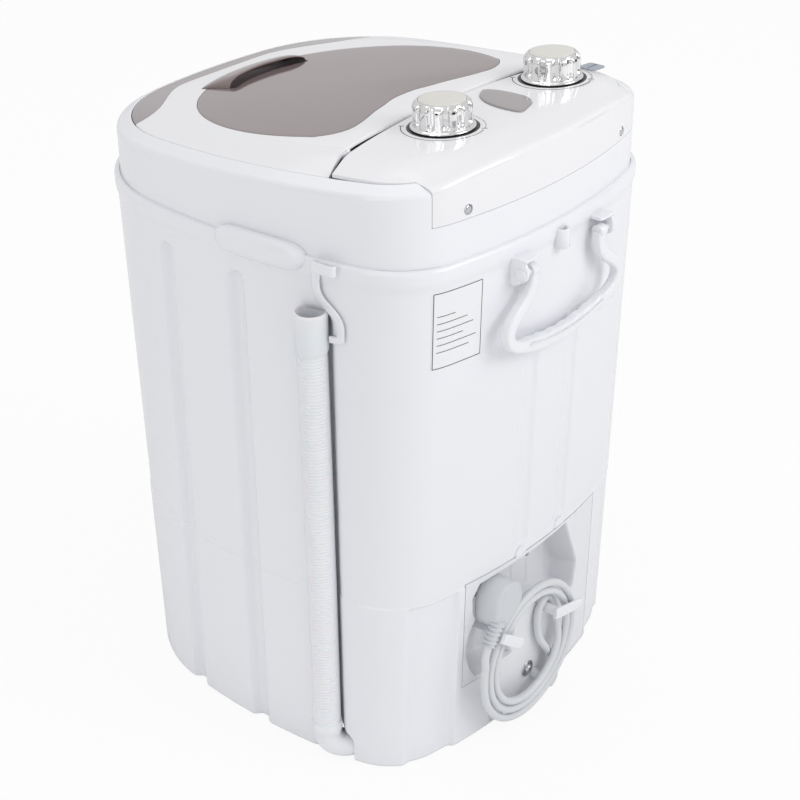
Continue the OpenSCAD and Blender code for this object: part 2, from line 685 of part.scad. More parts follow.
// Carry handle
handle_w = 11;
handle_drop = 72;
handle_t = 10;
handle_line = [[handle_half, -2], [handle_half, -10], [handle_half + 5, -19], [handle_half + 17, -26],
    [handle_half + 29, -34], [handle_half + 32, -44], [handle_half + 26, -56], [handle_half + 8, -64],
    [28, -70], [0, -handle_drop]];
handle_path = concat(handle_line, [for (p = reversed(handle_line)) [-p[0], p[1]]]);
handle_eye = [0, -30];
module handle_outline() {
    offset(r = handle_w / 2 - 0.25, $fn = 32) polygon(concat(handle_path,
        [for (p = reversed(handle_path)) p + 0.5 * (handle_eye - p) / norm(handle_eye - p)]));
}
module carry_handle() {
    color("white") {
        translate([0, handle_y + handle_t / 2, handle_z]) rotate([90, 0, 0]) linear_extrude(handle_t)
            handle_outline();
        both_sides() translate([handle_half, handle_y, handle_z]) rotate([0, 90, 0])
            cylinder(r = handle_pin_r, h = ear_x + ear_t - handle_half);
    }
}

// Rear service cover with the cord pocket
pocket_floor = base_half_y - pocket_d;
module pocket_outline(grow) {
    offset(delta = grow) polygon(concat([[-44, 172], [-72, 111], [-66, 78], [-40, 70]],
        [for (turn = [-40:15:35]) [40, 105] + 53 * [cos(turn), sin(turn)]], [[87, 143], [88, 158], [80, 171]]));
}
// The rear wall as one cone, set in from the casing's lower face by t
module rear_cone(t) {
    translate([0, base_half_y - end_r, 0]) cylinder(r1 = end_r + step_out - t,
        r2 = end_r + step_out - t + casing_b(200) - casing_b(0), h = 200, $fn = 720);
}
module service_cover() {
    color("whitesmoke") {
        difference() {
            intersection() {
                rear_cone(0);
                along_y(150, 230) cover_outline(-gap);
            }
            rear_cone(wall + step_out);
            along_y(150, 230) pocket_outline(1);
            translate([gland_x, 160, gland_z]) rotate([-90, 0, 0]) cylinder(r = gland_r, h = 60);
            translate([screw_cx, 160, screw_cz]) rotate([-90, 0, 0]) cylinder(r = 2.1, h = 60);
        }
        difference() {
            intersection() {
                along_y(pocket_floor - 2, casing_half_y) pocket_outline(2.2);
                rear_cone(0.6);
            }
            along_y(pocket_floor, casing_half_y + 10) pocket_outline(0);
            for (i = [-1:1]) translate([-32 + 9 * i, pocket_floor - 5, 139 - 4 * i]) rotate([-90, 0, 0])
                cylinder(r = 2, h = 10);
        }
        cord_hook(hook_l, 38, 34);
        cord_hook(hook_r, 194, 42);
    }
}
// The two cord hooks: a post with a blade that keeps the turns from slipping off
hook_l = [54, 104];
hook_r = [-8, 100];
hook_r_post = 4.5;
hook_y = 214;
hook_blade = 3;
module cord_hook(at, turn, span) {
    translate([at[0], pocket_floor - 1, at[1]]) rotate([-90, 0, 0])
        cylinder(r = hook_r_post, h = hook_y - pocket_floor);
    translate([at[0], hook_y - hook_blade, at[1]]) rotate([0, -turn, 0])
        translate([-hook_r_post - 1.5, 0, -6]) cube([span + 1.5, hook_blade, 12]);
}
gland_x = -1;
gland_z = 26;
gland_r = 5;
gland_dir = [-0.65, 0, -0.76];
screw_cx = 9;
screw_cz = 37;
function wall_y(x, z) = end_y(casing_b(z), x, -step_out);
module cover_screw() {
    color("silver") translate([screw_cx, wall_y(screw_cx, screw_cz), screw_cz]) rotate([-90, 0, 0]) difference() {
        union() {
            translate([0, 0, -14]) cylinder(r = 2, h = 16);
            translate([0, 0, 1.3]) cylinder(r1 = 4.2, r2 = 3.2, h = 2.4);
        }
        for (turn = [0, 90]) rotate(turn) translate([-2.6, -0.5, 2.5]) cube([5.2, 1, 2]);
    }
}
module cover_washer() {
    color("gray") translate([screw_cx, wall_y(screw_cx, screw_cz) + 0.3, screw_cz]) rotate([-90, 0, 0])
        tube(8, 2.1, 1);
}
gland_len = 17;
gland_root = [gland_x, wall_y(gland_x, gland_z) + 6.5, gland_z];
module cord_gland() {
    color([0.8, 0.81, 0.82]) difference() {
        union() {
            translate(gland_root - [0, 20, 0]) rotate([-90, 0, 0]) cylinder(r = gland_r, h = 20);
            translate(gland_root) sphere(r = gland_r);
            rod(gland_root, gland_root + gland_len * gland_dir, cord_d / 2 + 1);
            for (i = [0:4]) rod(gland_root + (2 + 3.1 * i) * gland_dir, gland_root + (3.8 + 3.1 * i) * gland_dir,
                gland_r);
        }
        rod(gland_root + (gland_len - 4) * gland_dir, gland_root + (gland_len + 1) * gland_dir, cord_d / 2);
    }
}

// Mains cord: out of the gland, over the right hook, round both hooks in an outward spiral, up into the plug
loop_centre = [24, 76];
loop_half = [48, 48];
loop_pitch = cord_d + 1;
loop_start = 155;
loop_turns = 2.6;
loop_rings = 24;
loop_y = 204.5;
loop_y0 = 197.5;
function loop_at(s) = let (g = loop_start + 360 * s)
    [loop_centre[0] + (loop_half[0] + loop_pitch * s) * cos(g),
        loop_y0 + (loop_y - loop_y0) * swell(s / 0.18),
        loop_centre[1] + (loop_half[1] + loop_pitch * s) * sin(g)];
cord_start = gland_root + (gland_len - 4) * gland_dir;
cord_lead = [[-19, 198, 5], [-26, 197.5, 8], [-27, 197.5, 17], [-22, 197.5, 34], [-11, 197.5, 52], [0, 197.5, 70],
    [4, 197.5, 88], [3, 197.5, 101], [-4, 197.5, 110], [-13, 197.5, 109]];
relief_end = [88, 205, 117];
relief_dir = [-0.57, 0, 0.82];
plug_at = [62, 205, 150];
cord_tail = [[92, 205, 97], [92.5, 205, 106]];
cord_path = concat([cord_start, gland_root + (gland_len + 3) * gland_dir], cord_lead,
    [for (i = [0:floor(loop_turns * loop_rings)]) loop_at(i / loop_rings)], cord_tail,
    [relief_end - 2 * relief_dir, relief_end + 4 * relief_dir]);
self_gap = min([for (i = [0:len(cord_path) - 8]) for (j = [i + 7:len(cord_path) - 1])
    norm(cord_path[i] - cord_path[j])]) - cord_d;
echo(cord_self_gap_mm = self_gap);
function frame_at(p, i) =
    let (n = len(p), t = p[min(i + 1, n - 1)] - p[max(i - 1, 0)], u = t / norm(t),
         s = cross(u, [0, 1, 0]), v = s / norm(s))
    [v, cross(u, v)];
module sweep(path, r, sides) {
    n = len(path);
    points = [for (i = [0:n - 1]) let (f = frame_at(path, i)) for (k = [0:sides - 1])
        path[i] + r * (f[0] * cos(360 * k / sides) + f[1] * sin(360 * k / sides))];
    polyhedron(concat(points, [path[0], path[n - 1]]), concat(
        [for (i = [0:n - 2]) for (k = [0:sides - 1])
            let (j = (k + 1) % sides, a = i * sides + k, b = i * sides + j, c = a + sides, d = b + sides)
            each [[a, b, c], [b, d, c]]],
        [for (k = [0:sides - 1]) [n * sides, (k + 1) % sides, k]],
        [for (k = [0:sides - 1]) [n * sides + 1, (n - 1) * sides + k, (n - 1) * sides + (k + 1) % sides]]));
}
module power_cord() {
    color([0.82, 0.83, 0.84]) sweep(cord_path, cord_d / 2, 6);
}
pin_len = 19;
plug_y0 = pocket_floor + gap + pin_len;
plug_h = 25;
relief_len = 22;
module plug_body() {
    color([0.8, 0.81, 0.82]) difference() {
        union() {
            translate([plug_at[0], plug_y0, plug_at[2]]) rotate([-90, 0, 0]) {
                cylinder(r = 19, h = plug_h - 3);
                translate([0, 0, plug_h - 3]) cylinder(r1 = 19, r2 = 16, h = 3);
            }
            rod(relief_end, relief_end + relief_len * relief_dir, cord_d / 2 + 1.4);
            for (i = [0:4]) rod(relief_end + (1.5 + 4 * i) * relief_dir, relief_end + (4 + 4 * i) * relief_dir,
                cord_d / 2 + 2.4 + 0.4 * i);
        }
        rod(relief_end - relief_dir, relief_end + 4 * relief_dir, cord_d / 2);
    }
}
module plug_pins() {
    color("silver") for (x = [-9.5, 9.5]) translate([plug_at[0] + x, pocket_floor + gap, plug_at[2]])
        rotate([-90, 0, 0]) cylinder(r = 2.4, h = pin_len);
}

// Tub, pulsator and basket
tub_wall = 2.5;
module wash_tub() {
    color("gainsboro") difference() {
        union() {
            translate([0, 0, ledge_z]) linear_extrude(rim_z - ledge_z)
                polygon([for (p = bead_ring(0, wall + 2 + gap)) [p[0], p[1]]]);
            translate([0, tub_y, tub_floor_z]) cylinder(r1 = tub_floor_r, r2 = tub_r, h = rim_z - tub_floor_z);
        }
        translate([0, tub_y, tub_floor_z + tub_wall])
            cylinder(r1 = tub_floor_r - tub_wall, r2 = tub_r - tub_wall, h = rim_z - tub_floor_z - tub_wall + eps);
        translate([0, tub_y, tub_floor_z - 1]) cylinder(r = seal_r + fit, h = 10);
        translate([drain_pos[0], drain_pos[1], tub_floor_z - 1]) cylinder(r = 8, h = 10);
    }
}
pulsator_z = tub_floor_z + tub_wall + 5;
module pulsator() {
    color("lightsteelblue") translate([0, tub_y, pulsator_z]) difference() {
        union() {
            cylinder(r1 = pulsator_r - 3, r2 = pulsator_r, h = 5);
            for (turn = [0:90:270]) rotate(turn) translate([16, -5, 4]) rotate([90, 0, 90]) linear_extrude(70)
                polygon([[-6, 0], [16, 0], [8, 12], [2, 12]]);
            cylinder(r = 20, h = 16);
        }
        translate([0, 0, -1]) cylinder(r = shaft_r, h = 13);
    }
}
basket_z = pulsator_z + 16;
module spin_basket() {
    color("white") translate([0, tub_y, basket_z]) difference() {
        union() {
            cylinder(r1 = basket_r - 8, r2 = basket_r, h = basket_h);
            translate([0, 0, basket_h - 6]) cylinder(r = basket_r + 5, h = 6);
        }
        translate([0, 0, 3]) cylinder(r1 = basket_r - 10.5, r2 = basket_r - 2.5, h = basket_h - 3 + eps);
        for (turn = [0:30:330]) for (z = [35:45:basket_h - 30]) rotate(turn) translate([basket_r - 20, 0, z])
            rotate([0, 90, 0]) cylinder(r = 4, h = 40);
    }
}

// Drive
bracket_z = 84;
bracket_t = 4;
housing_z = bracket_z + bracket_t;
seal_r = 14;
pulley_z = 66;
pulley_h = 14;
belt_h = 9;
bearing_r = 16;
bearing_h = 10;
shaft_low = 62;
module on_axis(z) {
    translate([0, tub_y, z]) children();
}
module drive_shaft() {
    color("silver") on_axis(shaft_low) cylinder(r = shaft_r, h = pulsator_z + 11 - shaft_low);
}
module drive_housing() {
    h = tub_floor_z - housing_z;
    color("darkgray") on_axis(housing_z) difference() {
        union() {
            cylinder(r = 30, h = h);
            cylinder(r = 48, h = 6);
            translate([0, 0, h - 6]) cylinder(r = 60, h = 6);
            for (turn = [0:60:300]) rotate(turn) translate([0, -2, 0]) cube([46, 4, h - 3]);
        }
        translate([0, 0, -1]) cylinder(r = bearing_r - 3, h = h + 2);
        translate([0, 0, -1]) cylinder(r = bearing_r, h = bearing_h + 1);
        translate([0, 0, h - 8 - bearing_h]) cylinder(r = bearing_r, h = h);
    }
}
module shaft_bearings() {
    color("silver") for (z = [housing_z, tub_floor_z - 8 - bearing_h]) on_axis(z)
        tube(bearing_r, shaft_r + fit, bearing_h);
}
module shaft_seal() {
    color("black") on_axis(tub_floor_z - 8) tube(seal_r, shaft_r + fit, 10.5);
}
module pulley(r, bore) {
    difference() {
        union() {
            cylinder(r = r - 2, h = pulley_h);
            cylinder(r = r + 2.5, h = 2);
            translate([0, 0, pulley_h - 2]) cylinder(r = r + 2.5, h = 2);
        }
        translate([0, 0, -1]) cylinder(r = bore, h = pulley_h + 2);
    }
}
module drive_pulley() {
    color("silver") on_axis(pulley_z) difference() {
        pulley(pulley_r, shaft_r);
        for (turn = [0:60:300]) rotate(turn) translate([36, 0, -1]) cylinder(r = 11, h = pulley_h + 2);
    }
}
module motor_pulley() {
    color("dimgray") translate([motor_pos[0], motor_pos[1], pulley_z]) {
        pulley(motor_pulley_r, 2);
        cylinder(r = 5, h = motor_z - pulley_z + 10);
    }
}
module belt_loop(grow) {
    hull() {
        translate([0, tub_y]) circle(r = pulley_r - 2 + grow, $fn = 90);
        translate(motor_pos) circle(r = motor_pulley_r - 2 + grow, $fn = 48);
    }
}
module drive_belt() {
    color([0.1, 0.1, 0.1]) translate([0, 0, pulley_z + (pulley_h - belt_h) / 2]) linear_extrude(belt_h)
        difference() {
            belt_loop(3);
            belt_loop(0.15);
        }
}
motor_z = housing_z;
motor_h = 66;
module motor() {
    color("slategray") translate([motor_pos[0], motor_pos[1], motor_z]) difference() {
        union() {
            cylinder(r = motor_r - 4, h = motor_h);
            translate([0, 0, 14]) cylinder(r = motor_r, h = motor_h - 28);
            for (turn = [45:90:315]) rotate(turn) translate([motor_r - 6, -6, 0]) cube([12, 12, 5]);
        }
        translate([0, 0, -1]) cylinder(r = 5 + fit, h = 14);
    }
}
leg_places = [[74, -84], [74, 66], [-146, -62], [-146, 122]];
module motor_bracket() {
    color("gray") difference() {
        union() {
            translate([0, 0, bracket_z]) linear_extrude(bracket_t) hull()
                for (p = leg_places) translate(p) circle(r = 12);
            for (p = leg_places) translate([p[0], p[1], plate_z + plate_t]) cylinder(r = 9, h = bracket_z - plate_z - plate_t);
        }
        on_axis(bracket_z - 1) cylinder(r = bearing_r - 2, h = 10);
        translate([motor_pos[0], motor_pos[1], bracket_z - 1]) cylinder(r = 12, h = 10);
    }
}
module run_capacitor() {
    color("lightgray") translate([120, -80, plate_z + plate_t]) {
        cylinder(r = 21, h = 66);
        translate([0, 0, 66]) cylinder(r = 6, h = 6);
    }
}
plate_z = 6;
plate_t = 4;
// The end of each front corner lies inside the first flute's slope and is left out
corner_end_y = [flute_ys[0] - flute_w / 2 + 0.1, flute_ys[0] - flute_w / 2 + flute_edge - 0.5];
function base_plan(t) = [for (p = casing_ring(plate_z, t, 1, 0, 1))
    if (p[1] < corner_end_y[0] || p[1] > corner_end_y[1]) [p[0], p[1]]];
module base_plate() {
    color("gainsboro") difference() {
        translate([0, 0, plate_z]) linear_extrude(plate_t) polygon(base_plan(wall + gap));
        translate([-cover_left - 15, base_half_y - pocket_d - 12, 0]) cube([2 * cover_left + 30, 80, 20]);
        translate([drain_pos[0] - 14, drain_pos[1] + 32, 0]) cube([110, 200, 20]);
    }
}
foot_places = [[140, -120], [-140, -120], [140, 40], [-140, 130]];
module rubber_feet() {
    color([0.15, 0.15, 0.16]) for (p = foot_places) translate([p[0], p[1], 0]) cylinder(r = 14, h = plate_z);
}

// The point on the floor under the middle of the overall box is the origin
middle = [5, 5.6];
module placed() {
    translate([-middle[0], -middle[1], 0]) children();
}

placed() outer_casing();
placed() top_ring();
placed() control_console();
placed() console_screws();
placed() lid_frame();
placed() lid_window();
placed() lid_front_trim();
placed() lid_hinge_pins();
placed() dial_rings();
placed() wash_knob();
placed() wash_knob_cap();
placed() wash_timer();
placed() wash_timer_shaft();
placed() spin_knob();
placed() spin_knob_cap();
placed() spin_timer();
placed() spin_timer_shaft();
placed() leaf_insert();
placed() inlet_insert();
placed() drain_hose();
placed() hose_cuff();
placed() hose_clip();
placed() hose_elbow();
placed() drain_pipe();
placed() carry_handle();
placed() service_cover();
placed() cover_screw();
placed() cover_washer();
placed() cord_gland();
placed() power_cord();
placed() plug_body();
placed() plug_pins();
placed() wash_tub();
placed() pulsator();
placed() spin_basket();
placed() drive_shaft();
placed() drive_housing();
placed() shaft_seal();
placed() shaft_bearings();
placed() drive_pulley();
placed() drive_belt();
placed() motor_pulley();
placed() motor();
placed() motor_bracket();
placed() run_capacitor();
placed() base_plate();
placed() rubber_feet();
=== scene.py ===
"""A portable washing machine, seen from its rear corner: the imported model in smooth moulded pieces.

Lengths are millimetres in the part source's frame, where MIDDLE is the shared frame's origin. The
studio is in the shared frame's metres.
"""

import json
import logging
import math
from dataclasses import dataclass
from enum import Enum
from typing import Any, Callable, Sequence

import bmesh
import bpy
import numpy as np
from mathutils import Matrix, Vector

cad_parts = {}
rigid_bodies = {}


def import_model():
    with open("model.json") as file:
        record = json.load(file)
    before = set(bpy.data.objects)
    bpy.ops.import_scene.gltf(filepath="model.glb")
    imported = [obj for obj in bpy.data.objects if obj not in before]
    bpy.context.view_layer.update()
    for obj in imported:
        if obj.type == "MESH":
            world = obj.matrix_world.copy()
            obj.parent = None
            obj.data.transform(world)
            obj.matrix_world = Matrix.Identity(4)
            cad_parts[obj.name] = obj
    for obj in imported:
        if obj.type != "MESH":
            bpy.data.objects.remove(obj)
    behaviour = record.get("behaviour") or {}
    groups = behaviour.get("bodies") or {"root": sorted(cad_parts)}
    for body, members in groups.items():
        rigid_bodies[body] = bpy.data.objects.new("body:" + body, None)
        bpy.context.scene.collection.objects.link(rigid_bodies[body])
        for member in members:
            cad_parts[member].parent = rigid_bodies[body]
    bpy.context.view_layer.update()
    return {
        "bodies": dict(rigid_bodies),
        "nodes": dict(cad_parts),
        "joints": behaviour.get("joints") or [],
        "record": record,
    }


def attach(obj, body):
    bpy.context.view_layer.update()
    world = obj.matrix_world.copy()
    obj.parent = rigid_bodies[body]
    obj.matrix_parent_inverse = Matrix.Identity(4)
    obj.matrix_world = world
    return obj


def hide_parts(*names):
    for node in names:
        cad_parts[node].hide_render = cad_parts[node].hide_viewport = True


LOG = logging.getLogger("washer")
MM = 0.001
MIDDLE = np.array([5.0, 5.6, 0.0])
CASING_H = 467.0
RIM_Z = 488.0
SEAM_Z = 543.0
SIDE_R = 624.0
END_R = 530.0
STEP_OUT = 0.8
RING_SLOPE = 0.06
MOUTH_Y = -15.0
HINGE_Y = 92.0
HINGE_Z = 557.0
PIVOT_Y = 209.0
PIVOT_Z = 463.0
PRINT_HEIGHT = 0.12
LUG_TOP = 559.7
BUMP_METRES = 0.0004
SCATTER_METRES = 0.004
COAT_ROUGHNESS = 0.06
PLASTIC_IOR = 1.5


class Slot(Enum):
    """The record's material slots."""

    WHITE = "white_plastic"
    COVER = "cover_plastic"
    SMOKE = "smoke_plastic"
    STEEL = "steel"
    BLACK = "black_trim"
    CHROME = "chrome_trim"
    IVORY = "ivory_plastic"
    DARK = "dark_plastic"
    INSERT = "smoke_insert"
    BLUE = "blue_grey_plastic"
    HOSE = "hose_plastic"
    CORD = "cord_grey"
    TUB = "tub_plastic"
    PULSATOR = "pulsator_plastic"
    CAST = "cast_metal"
    BELT = "belt_rubber"
    MOTOR = "motor_metal"
    CAN = "capacitor_can"


class Body(Enum):
    """The bodies of the record that new pieces ride on."""

    MACHINE = "machine"
    LID = "lid"
    WASH = "wash_dial"
    SPIN = "spin_dial"
    HANDLE = "handle"


@dataclass(frozen=True)
class Graph:
    """A node tree that is written node by node."""

    tree: bpy.types.NodeTree

    def feed(self, node: bpy.types.Node, feeds: dict) -> None:
        """Gives each named or numbered input its value, or links the output that feeds it.

        Args:
            node: the node.
            feeds: a value or an output for each input's name or number.
        """
        for key, value in feeds.items():
            if isinstance(value, bpy.types.NodeSocket):
                self.tree.links.new(value, node.inputs[key])
            else:
                node.inputs[key].default_value = value

    def add(self, kind: str, feeds: dict | None = None, **settings: Any) -> bpy.types.Node:
        """Adds a node.

        Args:
            kind: the node's type.
            feeds: what goes into its inputs.
            settings: its own properties, which are set first.

        Returns:
            The node.
        """
        node = self.tree.nodes.new(kind)
        for key, value in settings.items():
            setattr(node, key, value)
        self.feed(node, feeds or {})
        return node

    def calc(self, operation: str, *terms: Any) -> bpy.types.NodeSocket:
        """The result of one math node."""
        return self.add("ShaderNodeMath", dict(enumerate(terms)), operation=operation).outputs[0]


@dataclass(frozen=True)
class Finish:
    """A moulded or metal surface with its own colour drift, gloss drift and fine relief."""

    name: str
    slot: Slot
    color: tuple
    roughness: float = 0.28
    drift: float = 0.08
    metallic: float = 0.0
    coat: float = 0.0
    relief: float = 0.05
    relief_scale: float = 420.0
    stretch: tuple = (1.0, 1.0, 1.0)
    mottle: float = 0.03
    mottle_scale: float = 9.0
    transmission: float = 0.0
    subsurface: float = 0.0

    def shade(self, side: int) -> tuple:
        """The colour at the dark end (-1) or the light end (1) of its drift."""
        return (*[min(1.0, c * (1 + side * self.mottle)) for c in self.color], 1)

    def material(self) -> bpy.types.Material:
        """Builds the material once, or gives the one already built."""
        found = bpy.data.materials.get(self.name)
        if found:
            return found
        mat = bpy.data.materials.new(self.name)
        mat.use_nodes = True
        graph = Graph(mat.node_tree)
        place = graph.add("ShaderNodeTexCoord").outputs["Object"]
        drawn = graph.add("ShaderNodeMapping", {"Scale": self.stretch, "Vector": place}).outputs["Vector"]

        def noise(scale: float, detail: float, at: bpy.types.NodeSocket) -> bpy.types.NodeSocket:
            """A cloud of noise at a scale."""
            feeds = {"Scale": scale, "Detail": detail, "Vector": at}
            return graph.add("ShaderNodeTexNoise", feeds).outputs["Fac"]

        cloud, smear = noise(self.mottle_scale, 4.0, place), noise(self.mottle_scale * 3.1, 6.0, drawn)
        fine = noise(self.relief_scale, 3.0, drawn)
        tint = graph.add("ShaderNodeMix", {"Factor": cloud, "A": self.shade(-1), "B": self.shade(1)},
                         data_type="RGBA")
        low, high = max(0.02, self.roughness - self.drift), self.roughness + self.drift
        gloss = graph.add("ShaderNodeMapRange", {"Value": smear, "To Min": low, "To Max": high})
        bump = graph.add("ShaderNodeBump", {"Strength": self.relief, "Distance": BUMP_METRES, "Height": fine})
        graph.feed(mat.node_tree.nodes["Principled BSDF"], {
            "Base Color": tint.outputs["Result"], "Roughness": gloss.outputs["Result"],
            "Normal": bump.outputs["Normal"], "Metallic": self.metallic, "Coat Weight": self.coat,
            "Coat Roughness": COAT_ROUGHNESS, "Transmission Weight": self.transmission, "IOR": PLASTIC_IOR,
            "Subsurface Weight": self.subsurface, "Subsurface Scale": SCATTER_METRES})
        return mat


WHITE = Finish("white gloss plastic", Slot.WHITE, (0.80, 0.81, 0.845), 0.22, 0.05, coat=0.25, relief=0.04,
               mottle=0.012)
LID_WHITE = Finish("white lid plastic", Slot.WHITE, (0.80, 0.80, 0.825), 0.17, 0.05, coat=0.4, relief=0.03,
                   mottle=0.012)
COVER_WHITE = Finish("white cover plastic", Slot.COVER, (0.76, 0.77, 0.80), 0.3, coat=0.1, relief=0.08,
                     mottle=0.015)
HOSE_WHITE = Finish("white flexible plastic", Slot.HOSE, (0.80, 0.81, 0.84), 0.42, relief=0.08, mottle=0.02,
                    subsurface=0.15)
HANDLE_WHITE = Finish("white handle plastic", Slot.WHITE, (0.80, 0.81, 0.84), 0.3, 0.06, coat=0.15,
                      relief=0.06, mottle=0.015)
SMOKE = Finish("smoke window plastic", Slot.SMOKE, (0.30, 0.235, 0.24), 0.09, 0.03, coat=0.5, relief=0.02,
               mottle=0.12, mottle_scale=6.0, transmission=0.35)
SMOKE_TRIM = Finish("smoke trim plastic", Slot.SMOKE, (0.26, 0.225, 0.235), 0.12, 0.04, coat=0.4, relief=0.02,
                    mottle=0.05, mottle_scale=5.0)
SMOKE_LEAF = Finish("smoke leaf insert", Slot.INSERT, (0.30, 0.275, 0.28), 0.12, 0.04, coat=0.4, relief=0.02)
VISOR = Finish("brown scoop lip", Slot.SMOKE, (0.16, 0.115, 0.11), 0.16, 0.04, coat=0.3, relief=0.02)
CHROME = Finish("chrome plating", Slot.CHROME, (0.80, 0.80, 0.80), 0.07, 0.03, 1.0, relief=0.02, mottle=0.02)
IVORY = Finish("ivory gloss plastic", Slot.IVORY, (0.66, 0.645, 0.60), 0.14, 0.04, coat=0.5, relief=0.02)
BLACK = Finish("black satin plastic", Slot.BLACK, (0.018, 0.018, 0.02), 0.35)
RUBBER = Finish("black rubber", Slot.BLACK, (0.025, 0.025, 0.026), 0.65, 0.1, relief=0.2)
STEEL = Finish("plated steel", Slot.STEEL, (0.55, 0.56, 0.58), 0.26, 0.1, 1.0, relief=0.06,
               stretch=(1.0, 1.0, 9.0))
CORD_GREY = Finish("light grey cord", Slot.CORD, (0.66, 0.675, 0.70), 0.42, 0.07, relief=0.08)
PLUG_GREY = Finish("light grey plug", Slot.CORD, (0.60, 0.62, 0.645), 0.4, 0.07, relief=0.1)
INLET_BLUE = Finish("blue grey inlet", Slot.BLUE, (0.34, 0.38, 0.43), 0.3, 0.06, relief=0.04)
PRINT = Finish("grey print", Slot.DARK, (0.10, 0.10, 0.11), 0.5, 0.05, relief=0.02)
DARK = Finish("dark moulded plastic", Slot.DARK, (0.05, 0.05, 0.055), 0.5, 0.1, relief=0.15)
TUB = Finish("tub polypropylene", Slot.TUB, (0.70, 0.71, 0.72), 0.35, relief=0.08)
PULSATOR = Finish("pale blue plastic", Slot.PULSATOR, (0.45, 0.53, 0.65), 0.32, relief=0.08)
CAST = Finish("cast aluminium", Slot.CAST, (0.50, 0.51, 0.52), 0.45, 0.12, 1.0, relief=0.3,
              relief_scale=260.0)
BELT = Finish("ribbed belt rubber", Slot.BELT, (0.02, 0.02, 0.02), 0.7, 0.1, relief=0.25,
              stretch=(1.0, 1.0, 12.0))
MOTOR = Finish("motor enamel", Slot.MOTOR, (0.14, 0.16, 0.18), 0.4, 0.1, relief=0.12)
CAN = Finish("drawn aluminium can", Slot.CAN, (0.62, 0.62, 0.64), 0.3, 0.08, 1.0, relief=0.06,
             stretch=(1.0, 1.0, 8.0))
STICKER = Finish("blank sticker", Slot.WHITE, (0.80, 0.81, 0.83), 0.35, 0.05, relief=0.02, mottle=0.02)


def swell(s: np.ndarray | float) -> np.ndarray | float:
    """Rises from 0 to 1 along half a cosine as s goes from 0 to 1."""
    return (1 - np.cos(np.pi * np.clip(s, 0, 1))) / 2


def full_turn(steps: int) -> np.ndarray:
    """The angles of a whole turn in equal steps."""
    return np.linspace(0, 2 * np.pi, steps, endpoint=False)


def circle(radius: float, sides: int = 24) -> np.ndarray:
    """A round section."""
    turn = full_turn(sides)
    return np.stack([radius * np.cos(turn), radius * np.sin(turn)], 1)


def rounded(width: float, height: float, radius: float, steps: int = 5) -> np.ndarray:
    """A rectangular section with round corners.

    Args:
        width: its width.
        height: its height.
        radius: radius of its corners.
        steps: steps in each corner.

    Returns:
        Its points (across, up).
    """
    out = []
    for k, (sx, sy) in enumerate(((1, 1), (-1, 1), (-1, -1), (1, -1))):
        for i in range(steps + 1):
            g = math.pi / 2 * (k + i / steps)
            out.append((sx * (width / 2 - radius) + radius * math.cos(g),
                        sy * (height / 2 - radius) + radius * math.sin(g)))
    return np.array(out)


def print_section(width: float) -> np.ndarray:
    """The flat section of a printed line."""
    return rounded(width, PRINT_HEIGHT, 0.05, 1)


def smooth_path(points: Sequence, steps: int) -> np.ndarray:
    """A curve through every point, with so many steps between two of them.

    Args:
        points: the points to pass through.
        steps: steps between two of them.

    Returns:
        The points of the curve.
    """
    p = np.array(points, float)
    p = np.vstack([2 * p[0] - p[1], p, 2 * p[-1] - p[-2]])
    out = []
    for i in range(1, len(p) - 2):
        a, b, c, d = p[i - 1:i + 3]
        for t in np.arange(steps) / steps:
            out.append(0.5 * (2 * b + (c - a) * t + (2 * a - 5 * b + 4 * c - d) * t * t
                              + (3 * b - a - 3 * c + d) * t ** 3))
    return np.array(out + [p[-2]])


def at_z(flat: np.ndarray, z: np.ndarray | float) -> np.ndarray:
    """Points (x, y) at one height, or at a height each."""
    return np.column_stack([flat, np.broadcast_to(z, len(flat))])


def at_x(x: float, flat: np.ndarray) -> np.ndarray:
    """Points (y, z) at one x."""
    return np.column_stack([np.full(len(flat), x), flat])


def placed(at: Sequence, turn: float = 0.0, axis: str = "X") -> Matrix:
    """The place of a piece that is turned by some degrees about an axis."""
    return Matrix.Translation(at) @ Matrix.Rotation(math.radians(turn), 4, axis)


def moved(points: np.ndarray, place: Matrix) -> np.ndarray:
    """Points carried to a place."""
    frame = np.array(place)
    return points @ frame[:3, :3].T + frame[:3, 3]


def metres(points: Sequence) -> list:
    """Points in the shared frame's metres."""
    return ((np.array(points) - MIDDLE) * MM).tolist()


def add_object(name: str, data: bpy.types.ID) -> bpy.types.Object:
    """A new object in the scene.

    Args:
        name: the object's name.
        data: its mesh, curve, lamp or camera.

    Returns:
        The object.
    """
    item = bpy.data.objects.new(name, data)
    bpy.context.scene.collection.objects.link(item)
    return item


def applied_mesh(item: bpy.types.Object) -> bpy.types.Mesh:
    """A new mesh with the object's modifiers in it."""
    graph = bpy.context.evaluated_depsgraph_get()
    return bpy.data.meshes.new_from_object(item.evaluated_get(graph))


